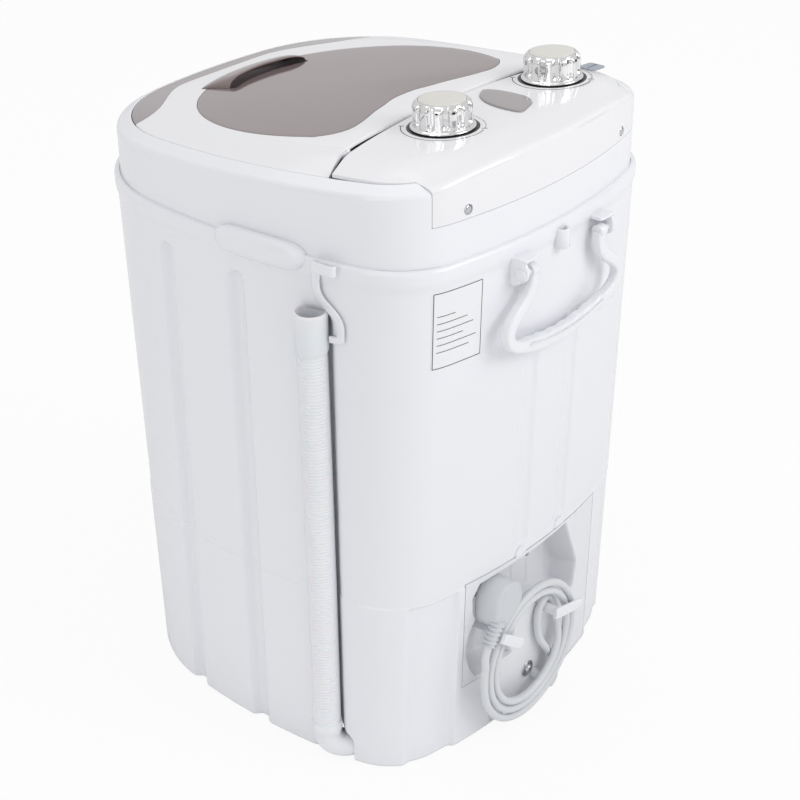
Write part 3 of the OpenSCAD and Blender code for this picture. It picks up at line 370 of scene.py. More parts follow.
class Shape:
    """Vertices in millimetres and the faces between them."""

    def __init__(self) -> None:
        """Starts empty."""
        self.verts: list = []
        self.faces: list = []

    def grid(self, rows: np.ndarray, round_rows: bool = False, round_columns: bool = False,
             caps: bool = False) -> "Shape":
        """Adds a sheet of quads through rows of points.

        Args:
            rows: array of rows by columns by 3.
            round_rows: whether the last column joins the first.
            round_columns: whether the last row joins the first.
            caps: whether the first and last rows are closed by one face each.

        Returns:
            This shape.
        """
        m, n = rows.shape[:2]
        base = len(self.verts)
        faces = []
        for i in range(m if round_columns else m - 1):
            for j in range(n if round_rows else n - 1):
                k, after = (j + 1) % n, (i + 1) % m
                faces.append((i * n + j, i * n + k, after * n + k, after * n + j))
        if caps:
            faces += [tuple(reversed(range(n))), tuple(range((m - 1) * n, m * n))]
        self.verts += rows.reshape(-1, 3).tolist()
        self.faces += [tuple(base + i for i in face) for face in faces]
        return self

    def stack(self, rings: Sequence, loop: bool = False) -> "Shape":
        """Adds a solid through rings of points, capped at its ends or joined into a loop."""
        return self.grid(np.array(rings), round_rows=True, round_columns=loop, caps=not loop)

    def sheet(self, front: np.ndarray, back: np.ndarray) -> "Shape":
        """Adds a solid between two grids of points, closed along their edges.

        Args:
            front: rows by columns of points.
            back: as many points behind them.

        Returns:
            This shape.
        """
        self.grid(front).grid(back)
        for edge in (np.s_[0], np.s_[-1], np.s_[:, 0], np.s_[:, -1]):
            self.grid(np.array([front[edge], back[edge]]))
        return self

    def prism(self, outline: Sequence, low: float, high: float, along_y: bool = False) -> "Shape":
        """Adds a straight prism over an outline.

        Args:
            outline: points (x, y), or (x, z) where the prism runs along y.
            low: where it starts.
            high: where it ends.
            along_y: whether it runs along y instead of z.

        Returns:
            This shape.
        """
        order = [0, 2, 1] if along_y else [0, 1, 2]
        return self.stack([at_z(np.array(outline, float), h)[:, order] for h in (low, high)])

    def box(self, low: Sequence, high: Sequence) -> "Shape":
        """Adds a box between two corners."""
        (x0, y0, z0), (x1, y1, z1) = low, high
        return self.prism([(x0, y0), (x1, y0), (x1, y1), (x0, y1)], z0, z1)

    def lathe(self, profile: Sequence, sides: int, place: Matrix, closed: bool = False) -> "Shape":
        """Adds a turned piece.

        Args:
            profile: points (radius, height).
            sides: how many steps round.
            place: where the axis and the base go, in millimetres.
            closed: whether the profile is a loop that stays off the axis.

        Returns:
            This shape.
        """
        rows = np.array([[(r * math.cos(g), r * math.sin(g), h) for g in full_turn(sides)]
                         for r, h in profile])
        return self.grid(moved(rows, place), round_rows=True, round_columns=closed)

    def sweep(self, path: Sequence, section: Callable[[int], np.ndarray] | np.ndarray,
              up: Sequence) -> "Shape":
        """Adds a section carried along a path, with closed ends.

        Args:
            path: points of the path.
            section: points (across, up) of the section, or a function of the path's index that gives them.
            up: direction that the section's second axis leans to.

        Returns:
            This shape.
        """
        path = np.array(path, float)
        rows = []
        for i, at in enumerate(path):
            ahead = path[min(i + 1, len(path) - 1)] - path[max(i - 1, 0)]
            ahead = ahead / np.linalg.norm(ahead)
            side = np.cross(ahead, up)
            side = side / np.linalg.norm(side)
            pts = section(i) if callable(section) else section
            rows.append(at + np.outer(pts[:, 0], side) + np.outer(pts[:, 1], np.cross(side, ahead)))
        return self.stack(rows)


class Piece:
    """A Blender object that is made from a shape or mesh, cut and dressed."""

    def __init__(self, name: str, source: Shape | bpy.types.Mesh) -> None:
        """Makes the object. A shape's doubles are merged and its faces turned outwards.

        Args:
            name: the piece's name.
            source: what it is made from.
        """
        mesh = source
        if isinstance(source, Shape):
            mesh = bpy.data.meshes.new(name)
            mesh.from_pydata(metres(source.verts), [], source.faces)
            work = bmesh.new()
            work.from_mesh(mesh)
            bmesh.ops.remove_doubles(work, verts=work.verts, dist=2e-6)
            bmesh.ops.dissolve_degenerate(work, edges=work.edges, dist=1e-6)
            bmesh.ops.recalc_face_normals(work, faces=work.faces)
            work.to_mesh(mesh)
            work.free()
        self.item = add_object(name, mesh)

    def cut(self, tool: "Shape | Piece", operation: str = "DIFFERENCE") -> "Piece":
        """Cuts the piece with a solid, which is used up.

        Args:
            tool: the solid that cuts it.
            operation: the Boolean's name.

        Returns:
            This piece.
        """
        cutter = tool if isinstance(tool, Piece) else Piece("cutter", tool)
        change = self.item.modifiers.new("cut", "BOOLEAN")
        change.operation = operation
        change.object = cutter.item
        change.solver = "EXACT"
        mesh = applied_mesh(self.item)
        self.item.modifiers.clear()
        old = self.item.data
        self.item.data = mesh
        bpy.data.meshes.remove(old)
        mesh.name = self.item.name
        bpy.data.objects.remove(cutter.item)
        return self

    def dress(self, finish: Finish, nodes: Sequence[str] = (), body: Body = Body.MACHINE,
              sharp: float = 32.0) -> bpy.types.Object:
        """Dresses the piece and ties it to the frame.

        Args:
            finish: its finish.
            nodes: the CAD nodes that it stands for.
            body: the body that it moves with.
            sharp: edges over this angle stay sharp.

        Returns:
            The piece's object.
        """
        piece = self.item
        piece.data.shade_smooth()
        piece.data.set_sharp_from_angle(angle=math.radians(sharp))
        piece.data.materials.clear()
        piece.data.materials.append(finish.material())
        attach(piece, body.value)
        if nodes:
            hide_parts(*nodes)
        LOG.info("%s: %d faces on %s", piece.name, len(piece.data.polygons), body.value)
        return piece


@dataclass(frozen=True)
class Plan:
    """The bulged rectangle with round corners that the casing, ring, lid and console share."""

    half_x: float
    half_y: float
    rear_r: float = 64.0
    front_r: float = 130.0
    steps: tuple = (150, 40, 150, 40, 30)

    def corner(self, radius: float) -> np.ndarray:
        """The centre of a corner of that radius, at the rear right.

        Args:
            radius: the corner's radius.

        Returns:
            The centre (x, y).
        """
        c1 = np.array([self.half_x - SIDE_R, 0.0])
        d = np.array([0.0, self.half_y - END_R]) - c1
        length = np.linalg.norm(d)
        e = d / length
        r1, r2 = SIDE_R - radius, END_R - radius
        x = (length ** 2 + r1 ** 2 - r2 ** 2) / (2 * length)
        return c1 + e * x + np.array([-e[1], e[0]]) * math.sqrt(r1 * r1 - x * x)

    def arcs(self) -> list:
        """The eight arcs in order: centre, radius, first and last angle, steps."""
        side, rear_n, rear, front_n, front = self.steps
        (rx, ry), (fx, fy) = self.corner(self.rear_r), self.corner(self.front_r)
        sx, ey = self.half_x - SIDE_R, self.half_y - END_R
        r0, f0 = math.atan2(ry, rx - sx), math.atan2(fy, fx - sx)
        r1, f1 = math.atan2(ry - ey, rx), math.atan2(fy - ey, fx)
        pi = math.pi
        return [((sx, 0), SIDE_R, -f0, r0, side),
                ((rx, ry), self.rear_r, r0, r1, rear_n),
                ((0, ey), END_R, r1, pi - r1, rear),
                ((-rx, ry), self.rear_r, pi - r1, pi - r0, rear_n),
                ((-sx, 0), SIDE_R, pi - r0, pi + f0, side),
                ((-fx, -fy), self.front_r, pi + f0, pi + f1, front_n),
                ((0, -ey), END_R, pi + f1, 2 * pi - f1, front),
                ((fx, -fy), self.front_r, 2 * pi - f1, 2 * pi - f0, front_n)]

    def ring(self) -> tuple:
        """The outline's points, outward normals, arc of each and share of that arc."""
        pts, normals, arcs, shares = [], [], [], []
        for k, (centre, radius, g0, g1, n) in enumerate(self.arcs()):
            g = np.linspace(g0, g1, n, endpoint=False)
            nrm = np.stack([np.cos(g), np.sin(g)], 1)
            pts.append(np.array(centre) + radius * nrm)
            normals.append(nrm)
            arcs.append(np.full(n, k))
            shares.append(np.linspace(0, 1, n, endpoint=False))
        return tuple(np.concatenate(part) for part in (pts, normals, arcs, shares))

    def outline(self, inset: float) -> np.ndarray:
        """The outline's points, set in by some millimetres."""
        pts, normals, _, _ = self.ring()
        return pts - inset * normals


RING_PLAN = Plan(183.3, 199.7, steps=(60, 36, 70, 44, 30))


def end_y(half_y: np.ndarray | float, x: np.ndarray | float, out: float = 0.0) -> np.ndarray | float:
    """Depth of a rear wall at x, some way out of it."""
    return half_y - END_R + np.sqrt((END_R + out) ** 2 - np.asarray(x, float) ** 2)


def side_x(half_x: float, y: float) -> float:
    """Place of a side wall at y."""
    return half_x - SIDE_R + math.sqrt(SIDE_R ** 2 - y ** 2)


def casing_half(z: np.ndarray | float) -> tuple:
    """Half width and half depth of the casing at a height."""
    return 185.0 + z / CASING_H, 189.5 + 12.9 * z / CASING_H


@dataclass
class Casing:
    """The moulded casing with its flutes, hose channel, rim bead, handle ears, grips and blank sticker."""

    wall: float = 2.6
    flute_ys: tuple = (-62.0, 20.0)
    flute_half: float = 11.0
    flute_depth: float = 6.0
    flute_top: float = 460.0
    channel_y: float = 99.0
    channel_half: float = 3.0
    channel_soft: float = 15.0
    channel_depth: float = 11.0
    channel_top: float = 434.0
    rear_flute_x: float = 29.0
    rear_flute_half: float = 4.0
    rear_flute_depth: float = 2.2
    rear_flute_zs: tuple = (188.0, 392.0)
    step_z: float = 175.0
    low_panel_x: float = 102.5
    low_panel_depth: float = 4.0
    bead_half: tuple = (187.65, 204.2)
    ear_x: float = 58.0
    grip_z: float = 486.0
    grip_ys: tuple = (3, 92)
    grip_wall: float = 187.6
    sticker_xs: tuple = (138, 91)
    sticker_zs: tuple = (401, 468)

    def depth(self, pts: np.ndarray, arcs: np.ndarray, shares: np.ndarray, z: float) -> np.ndarray:
        """How far the surface sinks at each point of a ring.

        Args:
            pts: the ring's points.
            arcs: the arc of each point.
            shares: how far along its arc each point is, from 0 to 1.
            z: the ring's height.

        Returns:
            The depths.
        """
        out = np.zeros(len(pts))
        sides, rear = (arcs == 0) | (arcs == 4), arcs == 2
        x, y = np.abs(pts[:, 0]), pts[:, 1]

        def sunk(where: np.ndarray, deep: float, r: np.ndarray) -> np.ndarray:
            """The depths with a hollow added that is full where r is 0 and gone where it is 1."""
            return np.where(where, out + deep * (1 - swell(r)), out)

        for middle in self.flute_ys:
            over = max(0.0, z - (self.flute_top - self.flute_half)) / self.flute_half
            r = np.sqrt(((y - middle) / self.flute_half) ** 2 + over ** 2)
            out = sunk(sides, self.flute_depth, (r - 0.25) / 0.75)
        across = np.clip(np.abs(y - self.channel_y) - self.channel_half, 0, None)
        r = np.sqrt(across ** 2 + max(0.0, z - self.channel_top) ** 2)
        out = sunk(sides, self.channel_depth, r / self.channel_soft)
        low, high = self.rear_flute_zs
        over = max(0.0, z - high) + max(0.0, low - z)
        r = np.sqrt(np.clip(np.abs(x - self.rear_flute_x) - self.rear_flute_half, 0, None) ** 2 + over ** 2)
        out = sunk(rear, self.rear_flute_depth, (r - 1) / 6)
        below = 1 - swell((z - self.step_z + 2.5) / 3)
        into = np.select([arcs == 1, arcs == 3, rear],
                         [swell((shares - 0.55) / 0.14), swell((0.45 - shares) / 0.14),
                          swell((x - self.low_panel_x) / 5)])
        return out + self.low_panel_depth * below * into

    def row(self, z: float, half: tuple, inset: float, features: float = 1.0) -> np.ndarray:
        """One ring of the casing's surface.

        Args:
            z: its height.
            half: half width and half depth of its plan.
            inset: how far it is set in.
            features: share of the flutes and the channel in it.

        Returns:
            The ring's points.
        """
        pts, normals, arcs, shares = Plan(*half).ring()
        sunk = inset + features * self.depth(pts, arcs, shares, z)
        return at_z(pts - normals * sunk[:, None], z)

    def shell(self) -> Shape:
        """The wall, outside and inside, as one closed surface."""
        rows = [self.row(z, casing_half(plan_z), inset)
                for z, plan_z, inset in ((1.0, 1, 1.6), (1.6, 1, 0.4), (3.0, 3, -0.5), (5.0, 5, -STEP_OUT))]
        levels = [(z, STEP_OUT) for z in (20, 40, 60, 80, 100, 120, 140, 155, 165, 170, 172, 173.4)]
        levels += [(174.2, 0.75), (174.9, 0.5), (175.4, 0.15), (176.0, 0.0), (177.5, 0.0), (179.0, 0.0)]
        levels += [(z, 0.0) for z in (*range(182, 192, 3), 195, *range(220, 371, 30), 386,
                                      *range(390, 403, 3), 415, 430, *range(434, 447, 3),
                                      *range(448, 457, 2), 457.5, 459, 460.5, 463)]
        rows += [self.row(z, casing_half(z), -out) for z, out in levels]
        full = casing_half(CASING_H)
        for z, share in ((467, 0), (469, 0.08), (471, 0.28), (473, 0.55), (475, 0.8), (477, 0.95), (479, 1),
                         (482, 1), (484, 1)):
            half = tuple(f + (b - f) * share for f, b in zip(full, self.bead_half))
            rows.append(self.row(z, half, 0, 0))
        for z, inset in ((485.5, 0.2), (486.6, 0.7), (487.5, 1.5), (RIM_Z, 2.6), (RIM_Z, 4.3), (RIM_Z, 4.6),
                         (484.0, 4.6), (484.0, 7.6)):
            rows.append(self.row(z, self.bead_half, inset, 0))
        for z in (471, 463, 456, 448, 434, 402, 392, 300, 188, 178, 172, 90, 1.0):
            rows.append(self.row(z, casing_half(z), self.wall))
        return Shape().stack(rows, loop=True)

    def ears(self) -> Shape:
        """The two hooded ears that carry the handle, with the caps of its pivots."""
        hood = smooth_path([(193.0, 452.0), (203.0, 452.0), (208.0, 455.0), (213.0, 458.0), (215.0, 462.0),
                            (215.0, 468.0), (212.0, 473.0), (206.0, 475.5), (193.0, 475.5)], 4)
        middle = np.array([202.0, 464.0])
        lip = rounded(20.0, 2.6, 1.2)
        out = Shape()
        for side in (1, -1):
            out.stack([at_x(side * (self.ear_x + x), middle + (hood - middle) * (1 - shrink / 14))
                       for x, shrink in ((0, 1.2), (0.5, 0.4), (1.2, 0), (3.2, 0), (3.8, 0.4), (4.0, 1.2))])
            out.stack([at_x(side * (44.0 + 3.5 * k), lip * [0.88 if k == 0 else 1, 1] + [203.5, 474.2])
                       for k in range(6)])
            pivot = placed((side * (self.ear_x + 4.0), PIVOT_Y, PIVOT_Z), side * 90, "Y")
            out.lathe([(0, -1), (5.2, -1), (5.2, 0.9), (4.6, 1.5), (0, 1.5)], 32, pivot)
        return out

    def boss(self) -> Shape:
        """The open vertical tube between the ears."""
        profile = [(4.3, 0.0), (6.2, 0.0), (6.8, 0.8), (6.8, 15.6), (6.2, 16.6), (4.9, 16.6), (4.3, 16.0)]
        return Shape().lathe(profile, 40, placed((1.0, 204.6, 465.0)), closed=True)

    def grips(self) -> Shape:
        """The two pillow grips under the rim. The hose side's stands further out."""
        out = Shape()
        g = full_turn(22)
        for side, out_by, limit in ((1, 6.2, 197.0), (-1, 2.4, self.grip_wall)):
            rows = []
            for y in np.linspace(*self.grip_ys, 40):
                fat = max(0.0, 1 - abs((y - 47.5) / 44.5) ** 5) ** 0.5
                low, high = self.grip_z - 11.5 * fat - 1.5, self.grip_z + 10.5 * fat
                wall = side_x(self.grip_wall, y)
                z = (low + high) / 2 + (high - low) / 2 * np.sign(np.sin(g)) * np.abs(np.sin(g)) ** 0.8
                x = wall - 1.5 + (1.2 + out_by * fat) * np.sign(np.cos(g)) * np.abs(np.cos(g)) ** 0.7
                rows.append(np.column_stack([side * np.clip(x, wall - 5, limit), np.full(len(g), y), z]))
            out.stack(rows)
        return out

    def on_corner(self, x: float, z: float, out: float) -> np.ndarray:
        """A point on the rear right corner or rear wall of the casing, some way out of it.

        Args:
            x: its x before it is moved out.
            z: its height.
            out: how far out it is.

        Returns:
            The point.
        """
        pts, normals, arcs, _ = Plan(*casing_half(z)).ring()
        pick = np.flatnonzero((arcs == 1) | (arcs == 2))
        best = np.interp(x, pts[pick, 0][::-1], pick[::-1])
        i = int(best)
        p = pts[i] * (1 - best + i) + pts[i + 1] * (best - i) + out * normals[i]
        return np.array([p[0], p[1], z])

    def sticker(self) -> None:
        """The blank place of the rating label, with an empty frame and ruled lines."""
        xs, zs = np.linspace(*self.sticker_xs, 26), np.linspace(*self.sticker_zs, 22)
        front, back = (np.array([[self.on_corner(x, z, out) for x in xs] for z in zs])
                       for out in (0.25, 0.05))
        Piece("blank_sticker", Shape().sheet(front, back)).dress(STICKER)
        (x0, x1), (z0, z1) = self.sticker_xs, self.sticker_zs
        x0, x1, z0, z1 = x0 - 1, x1 + 1, z0 + 1, z1 - 1
        rules = [((x0, z0), (x1, z0), 0.8), ((x0, z1), (x1, z1), 0.8), ((x0, z0), (x0, z1), 0.8),
                 ((x1, z0), (x1, z1), 0.8)]
        rules += [((134, 447 - 6.2 * k), (end, 447 - 6.2 * k), 0.7)
                  for k, end in enumerate((118, 106, 100, 110, 97, 104))]
        lines = Shape()
        for start, end, width in rules:
            path = [self.on_corner(*at, 0.27) for at in np.linspace(start, end, 25)]
            lines.sweep(path, print_section(width), (0.6, 0.8, 0.01))
        Piece("sticker_rules", lines).dress(PRINT)

    def notch(self) -> Shape:
        """The round-topped solid that cuts the elbow's notch."""
        middle, half = 107.0, 16.0
        arc = [(middle + half * math.cos(g), 20 + 13 * math.sin(g)) for g in np.linspace(0, math.pi, 25)]
        outline = np.array([(middle + half, -5.0)] + arc + [(middle - half, -5.0)])
        return Shape().stack([at_x(x, outline) for x in (126.0, 200.0)])

    def build(self) -> None:
        """Makes the casing and what is moulded on it."""
        opening = Shape().prism(ServiceCover.outline(0.35), 150, 230, along_y=True)
        Piece("casing", self.shell()).cut(opening).cut(self.notch()).dress(WHITE, ["outer_casing"])
        Piece("handle_ears", self.ears()).dress(WHITE, sharp=50)
        Piece("handle_boss", self.boss()).dress(WHITE, sharp=50)
        Piece("side_grips", self.grips()).dress(WHITE, sharp=60)
        self.sticker()


@dataclass
class TopRing:
    """The upper ring round the lid, with its deck, mouth and hinge lugs."""

    top_z: float = 538.0
    border: float = 13.0
    edge_r: float = 4.5
    skin: float = 2.5
    deck_z: float = 520.0
    mouth_r: float = 136.0
    lug_half: float = 2.4
    lug_xs: tuple = (132.0, 137.0)

    def row(self, inset: float, height: float, slope: float = RING_SLOPE) -> np.ndarray:
        """One ring at a height that follows a slope to the rear."""
        pts = RING_PLAN.outline(inset)
        return at_z(pts, height + slope * pts[:, 1])

    def wall(self) -> Shape:
        """The ring's wall and border, as one closed surface."""
        t, r, b = self.top_z, self.edge_r, self.border
        rows = [self.row(0, RIM_Z, 0), self.row(0, 492, 0), self.row(0, t - 20), self.row(0, t - r)]
        for k in range(1, 8):
            g = math.pi / 2 * k / 8
            rows.append(self.row(r * (1 - math.cos(g)), t - r + r * math.sin(g) + 0.12 * k))
        for share in (0.15, 0.35, 0.6, 0.85):
            rows.append(self.row(r + (b - 1.2 - r) * share, t + 1.0 + (SEAM_Z - t - 1.0) * share ** 0.9))
        for inset, drop in ((-1, 0), (-0.4, 0.25), (0, 0.9), (0, 9), (7, 9), (7, 11.5),
                            (self.skin + 1 - b, 11.5)):
            rows.append(self.row(b + inset, SEAM_Z - drop))
        return Shape().stack(rows + [self.row(self.skin, RIM_Z, 0)], loop=True)

    def build(self) -> None:
        """Makes the ring, its deck, its mouth and its lugs."""
        rear = Shape().box((-136, 120, self.deck_z), (136, 230, 640))
        Piece("top_ring_shell", self.wall()).cut(rear).dress(WHITE, ["top_ring"], sharp=40)
        r, z = self.mouth_r, self.deck_z
        hole = Shape().prism(circle(r + 1.5, 128) + [0, MOUTH_Y], z - 20, z + 20)
        Piece("deck", Shape().prism(RING_PLAN.outline(1.2), z - 3, z)).cut(hole).dress(WHITE)
        collar = Shape().lathe([(r, z - 20), (r + 2.5, z - 20), (r + 2.5, z - 0.8), (r + 1.9, z + 0.3),
                                (r + 0.9, z + 0.3), (r, z - 0.6)], 160, placed((0, MOUTH_Y, 0)), closed=True)
        Piece("mouth_collar", collar).dress(WHITE)
        y, half = HINGE_Y, self.lug_half
        arc = [(y + half * math.cos(a), HINGE_Z + half * math.sin(a)) for a in np.linspace(0, math.pi, 17)]
        flat = np.array(arc + [(y - half, z - 1), (y + half, z - 1)])
        lugs = Shape()
        for side in (1, -1):
            lugs.stack([at_x(side * x, flat) for x in self.lug_xs])
        Piece("hinge_lugs", lugs).dress(WHITE)


PANEL_SLOPE = 4.0 / 77.0
PANEL_FRONT = 81.0


def panel_z(y: np.ndarray | float) -> np.ndarray | float:
    """Height of the control panel's plane."""
    return 558.0 + PANEL_SLOPE * (np.asarray(y, float) - PANEL_FRONT)


def seam_y(x: np.ndarray | float) -> np.ndarray | float:
    """Depth of the seam between the lid and the console."""
    return PANEL_FRONT + np.asarray(x, float) ** 2 / 1120.0


@dataclass
class Console:
    """The control console behind the lid, with its dials, inserts and screws."""

    half: float = 136.0
    seam: float = 0.6
    skin: float = 2.5
    edge_r: float = 5.0
    knob_y: float = 120.0
    knob_xs: tuple = (47.0, -101.0)
    well_r: float = 29.2
    mark_r: float = 33.5
    inlet_at: tuple = (-146, 130)
    screw_x: float = 104.0
    screw_z: float = 527.5

    def row(self, inset: float, share: float, drop: float) -> np.ndarray:
        """One ring of the dome between its edge and the panel.

        Args:
            inset: how far it is set in.
            share: 0 at the height of the rounded edge, 1 at the panel's.
            drop: how far it lies below that.

        Returns:
            The ring's points.
        """
        pts = RING_PLAN.outline(inset)
        edge = 560.0 - 9.0 * np.minimum(1, np.abs(pts[:, 0]) / self.half) ** 3
        return at_z(pts, edge * (1 - share) + panel_z(pts[:, 1]) * share - drop)

    def dome(self, inset: float, low: float) -> Shape:
        """The whole top as a solid from a height up, before it is cut to the console's outline.

        Args:
            inset: how far it is set in and down.
            low: height of its underside.

        Returns:
            The solid.
        """
        r = self.edge_r
        rows = [at_z(RING_PLAN.outline(inset), low), self.row(inset, 0, 24 + inset),
                self.row(inset, 0, r + inset)]
        for k in range(1, 8):
            g = math.pi / 2 * k / 8
            rows.append(self.row(inset + r * (1 - math.cos(g)), 0, inset + r * (1 - math.sin(g))))
        for t in np.linspace(0, 1, 9)[1:]:
            rows.append(self.row(inset + r + 36 * t, float(swell(t)) * 0.5 + 0.5 * t, inset))
        return Shape().stack(rows)

    def region(self) -> Shape:
        """A prism over the console's outline behind the seam."""
        front = [(x, float(seam_y(x)) + self.seam) for x in np.linspace(-200, 200, 81)]
        return Shape().prism(front + [(200, 300), (-200, 300)], 500, 620)

    def at_knob(self, x: float, rise: float = 0.0) -> Matrix:
        """The place of a knob's foot on the panel."""
        place = Matrix.Translation((x, self.knob_y, float(panel_z(self.knob_y))))
        return place @ Matrix.Rotation(math.atan(PANEL_SLOPE), 4, "X") @ Matrix.Translation((0, 0, rise))

    def at_screws(self) -> list:
        """The places of the two screws in the rear wall."""
        depth = float(end_y(RING_PLAN.half_y, self.screw_x)) - 1.0
        return [placed((x, depth, self.screw_z), -90) for x in (-self.screw_x, self.screw_x)]

    @staticmethod
    def leaf(grow: float) -> np.ndarray:
        """The leaf insert's outline, grown by some millimetres.

        Args:
            grow: how far it is grown, in millimetres.

        Returns:
            Its points (x, y).
        """
        pts = smooth_path([(-42, 91), (-29, 98), (-19, 110), (-13.5, 124), (-11.5, 138), (-12.5, 151.5),
                           (-24, 150), (-38, 144.5), (-46, 134), (-48.5, 120), (-48.5, 107), (-46.5, 96),
                           (-42, 91)], 5)[:-1]
        centre = pts.mean(0)
        return pts + grow * (pts - centre) / np.linalg.norm(pts - centre, axis=1)[:, None]

    def inlet(self, grow: float) -> np.ndarray:
        """The water inlet's outline, grown by some millimetres.

        Args:
            grow: how far it is grown, in millimetres.

        Returns:
            Its points (x, y).
        """
        g = math.radians(-8)
        turn = np.array([[math.cos(g), math.sin(g)], [-math.sin(g), math.cos(g)]])
        return rounded(16 + 2 * grow, 18 + 2 * grow, 3) @ turn + self.inlet_at

    @staticmethod
    def on_panel(outline: np.ndarray, rises: Sequence) -> Shape:
        """A solid through copies of an outline, each at its share of the size and its rise over the panel.

        Args:
            outline: points (x, y).
            rises: pairs of a share and a rise.

        Returns:
            The solid.
        """
        centre = outline.mean(0)
        rings = [(centre + (outline - centre) * share, rise) for share, rise in rises]
        return Shape().stack([at_z(flat, panel_z(flat[:, 1]) + rise) for flat, rise in rings])

    def dial_marks(self) -> Shape:
        """The printed arcs and ticks round each dial."""
        marks = Shape()
        arcs = [(-60, 108, 0.8)] + [(116 + 6 * k, 118.4 + 6 * k, 0.9) for k in range(22)]
        for x in self.knob_xs:
            place = self.at_knob(x, 0.05)

            def line(flat: np.ndarray, width: float) -> None:
                """A printed line through points (x, y) on this dial."""
                marks.sweep(moved(at_z(flat, 0.0), place), print_section(width), (0, 0, 1))

            for g0, g1, width in arcs:
                g = np.radians(np.linspace(g0, g1, max(2, int(abs(g1 - g0) / 3))))
                line(self.mark_r * np.stack([np.cos(g), np.sin(g)], 1), width)
            for g in np.radians((-60, 114, 252)):
                line(np.outer((self.mark_r - 2.5, self.mark_r + 2.3), (np.cos(g), np.sin(g))), 0.9)
        return marks

    def build(self) -> None:
        """Makes the console and its inserts."""
        inner = Shape().prism(RING_PLAN.outline(13.6), 480, 640)
        keep = Piece("keep", inner).cut(Shape().box((-135.4, 100, 520.4), (135.4, 260, 640)), "UNION")
        shell = Piece("console", self.dome(0.0, 519.0)).cut(self.dome(self.skin, 500.0))
        shell.cut(self.region(), "INTERSECT").cut(keep, "INTERSECT")
        for x in self.knob_xs:
            well = [(0, -1), (self.well_r, -1), (self.well_r, 20), (0, 20)]
            shell.cut(Shape().lathe(well, 96, self.at_knob(x)))
        shell.cut(self.on_panel(self.leaf(0.25), ((1, -1.2), (1, 12))))
        shell.cut(self.on_panel(self.inlet(0.25), ((1, -1.6), (1, 12))))
        heads, rings = Shape(), Shape()
        for place in self.at_screws():
            shell.cut(Shape().lathe([(0, 0), (4.3, 0), (4.3, 30), (0, 30)], 40, place))
            heads.lathe([(0, -8), (1.9, -8), (1.9, 0), (3.9, 0), (3.9, 0.5), (3.4, 1.2), (2.2, 1.6), (0, 1.7)],
                        36, place)
        shell.dress(LID_WHITE, ["control_console"], sharp=35)
        Piece("console_screw_heads", heads).dress(STEEL, ["console_screws"], sharp=50)
        Piece("dial_marks", self.dial_marks()).dress(PRINT)
        for x in self.knob_xs:
            rings.lathe([(5, -0.9), (29.0, -0.9), (29.0, -0.15), (28.6, 0.05), (27.4, 0.05), (27.0, -0.3),
                         (5, -0.3)], 96, self.at_knob(x), closed=True)
        Piece("dial_wells", rings).dress(BLACK, ["dial_rings"])
        pillow = ((1, -1.1), (1, 0.7), (0.985, 1.0), (0.955, 1.2), (0.9, 1.28), (0.6, 1.36), (0.25, 1.4))
        leaf = Piece("leaf_badge_blank", self.on_panel(self.leaf(0.0), pillow))
        leaf.dress(SMOKE_LEAF, ["leaf_insert"], sharp=60)
        slit = self.on_panel(rounded(13, 3.4, 1.6) + self.inlet_at, ((1, -1.2), (1, 4)))
        inlet = Piece("water_inlet", self.on_panel(self.inlet(0.0), ((1, -1.5), (1, -0.4)))).cut(slit)
        inlet.dress(INLET_BLUE, ["inlet_insert"])


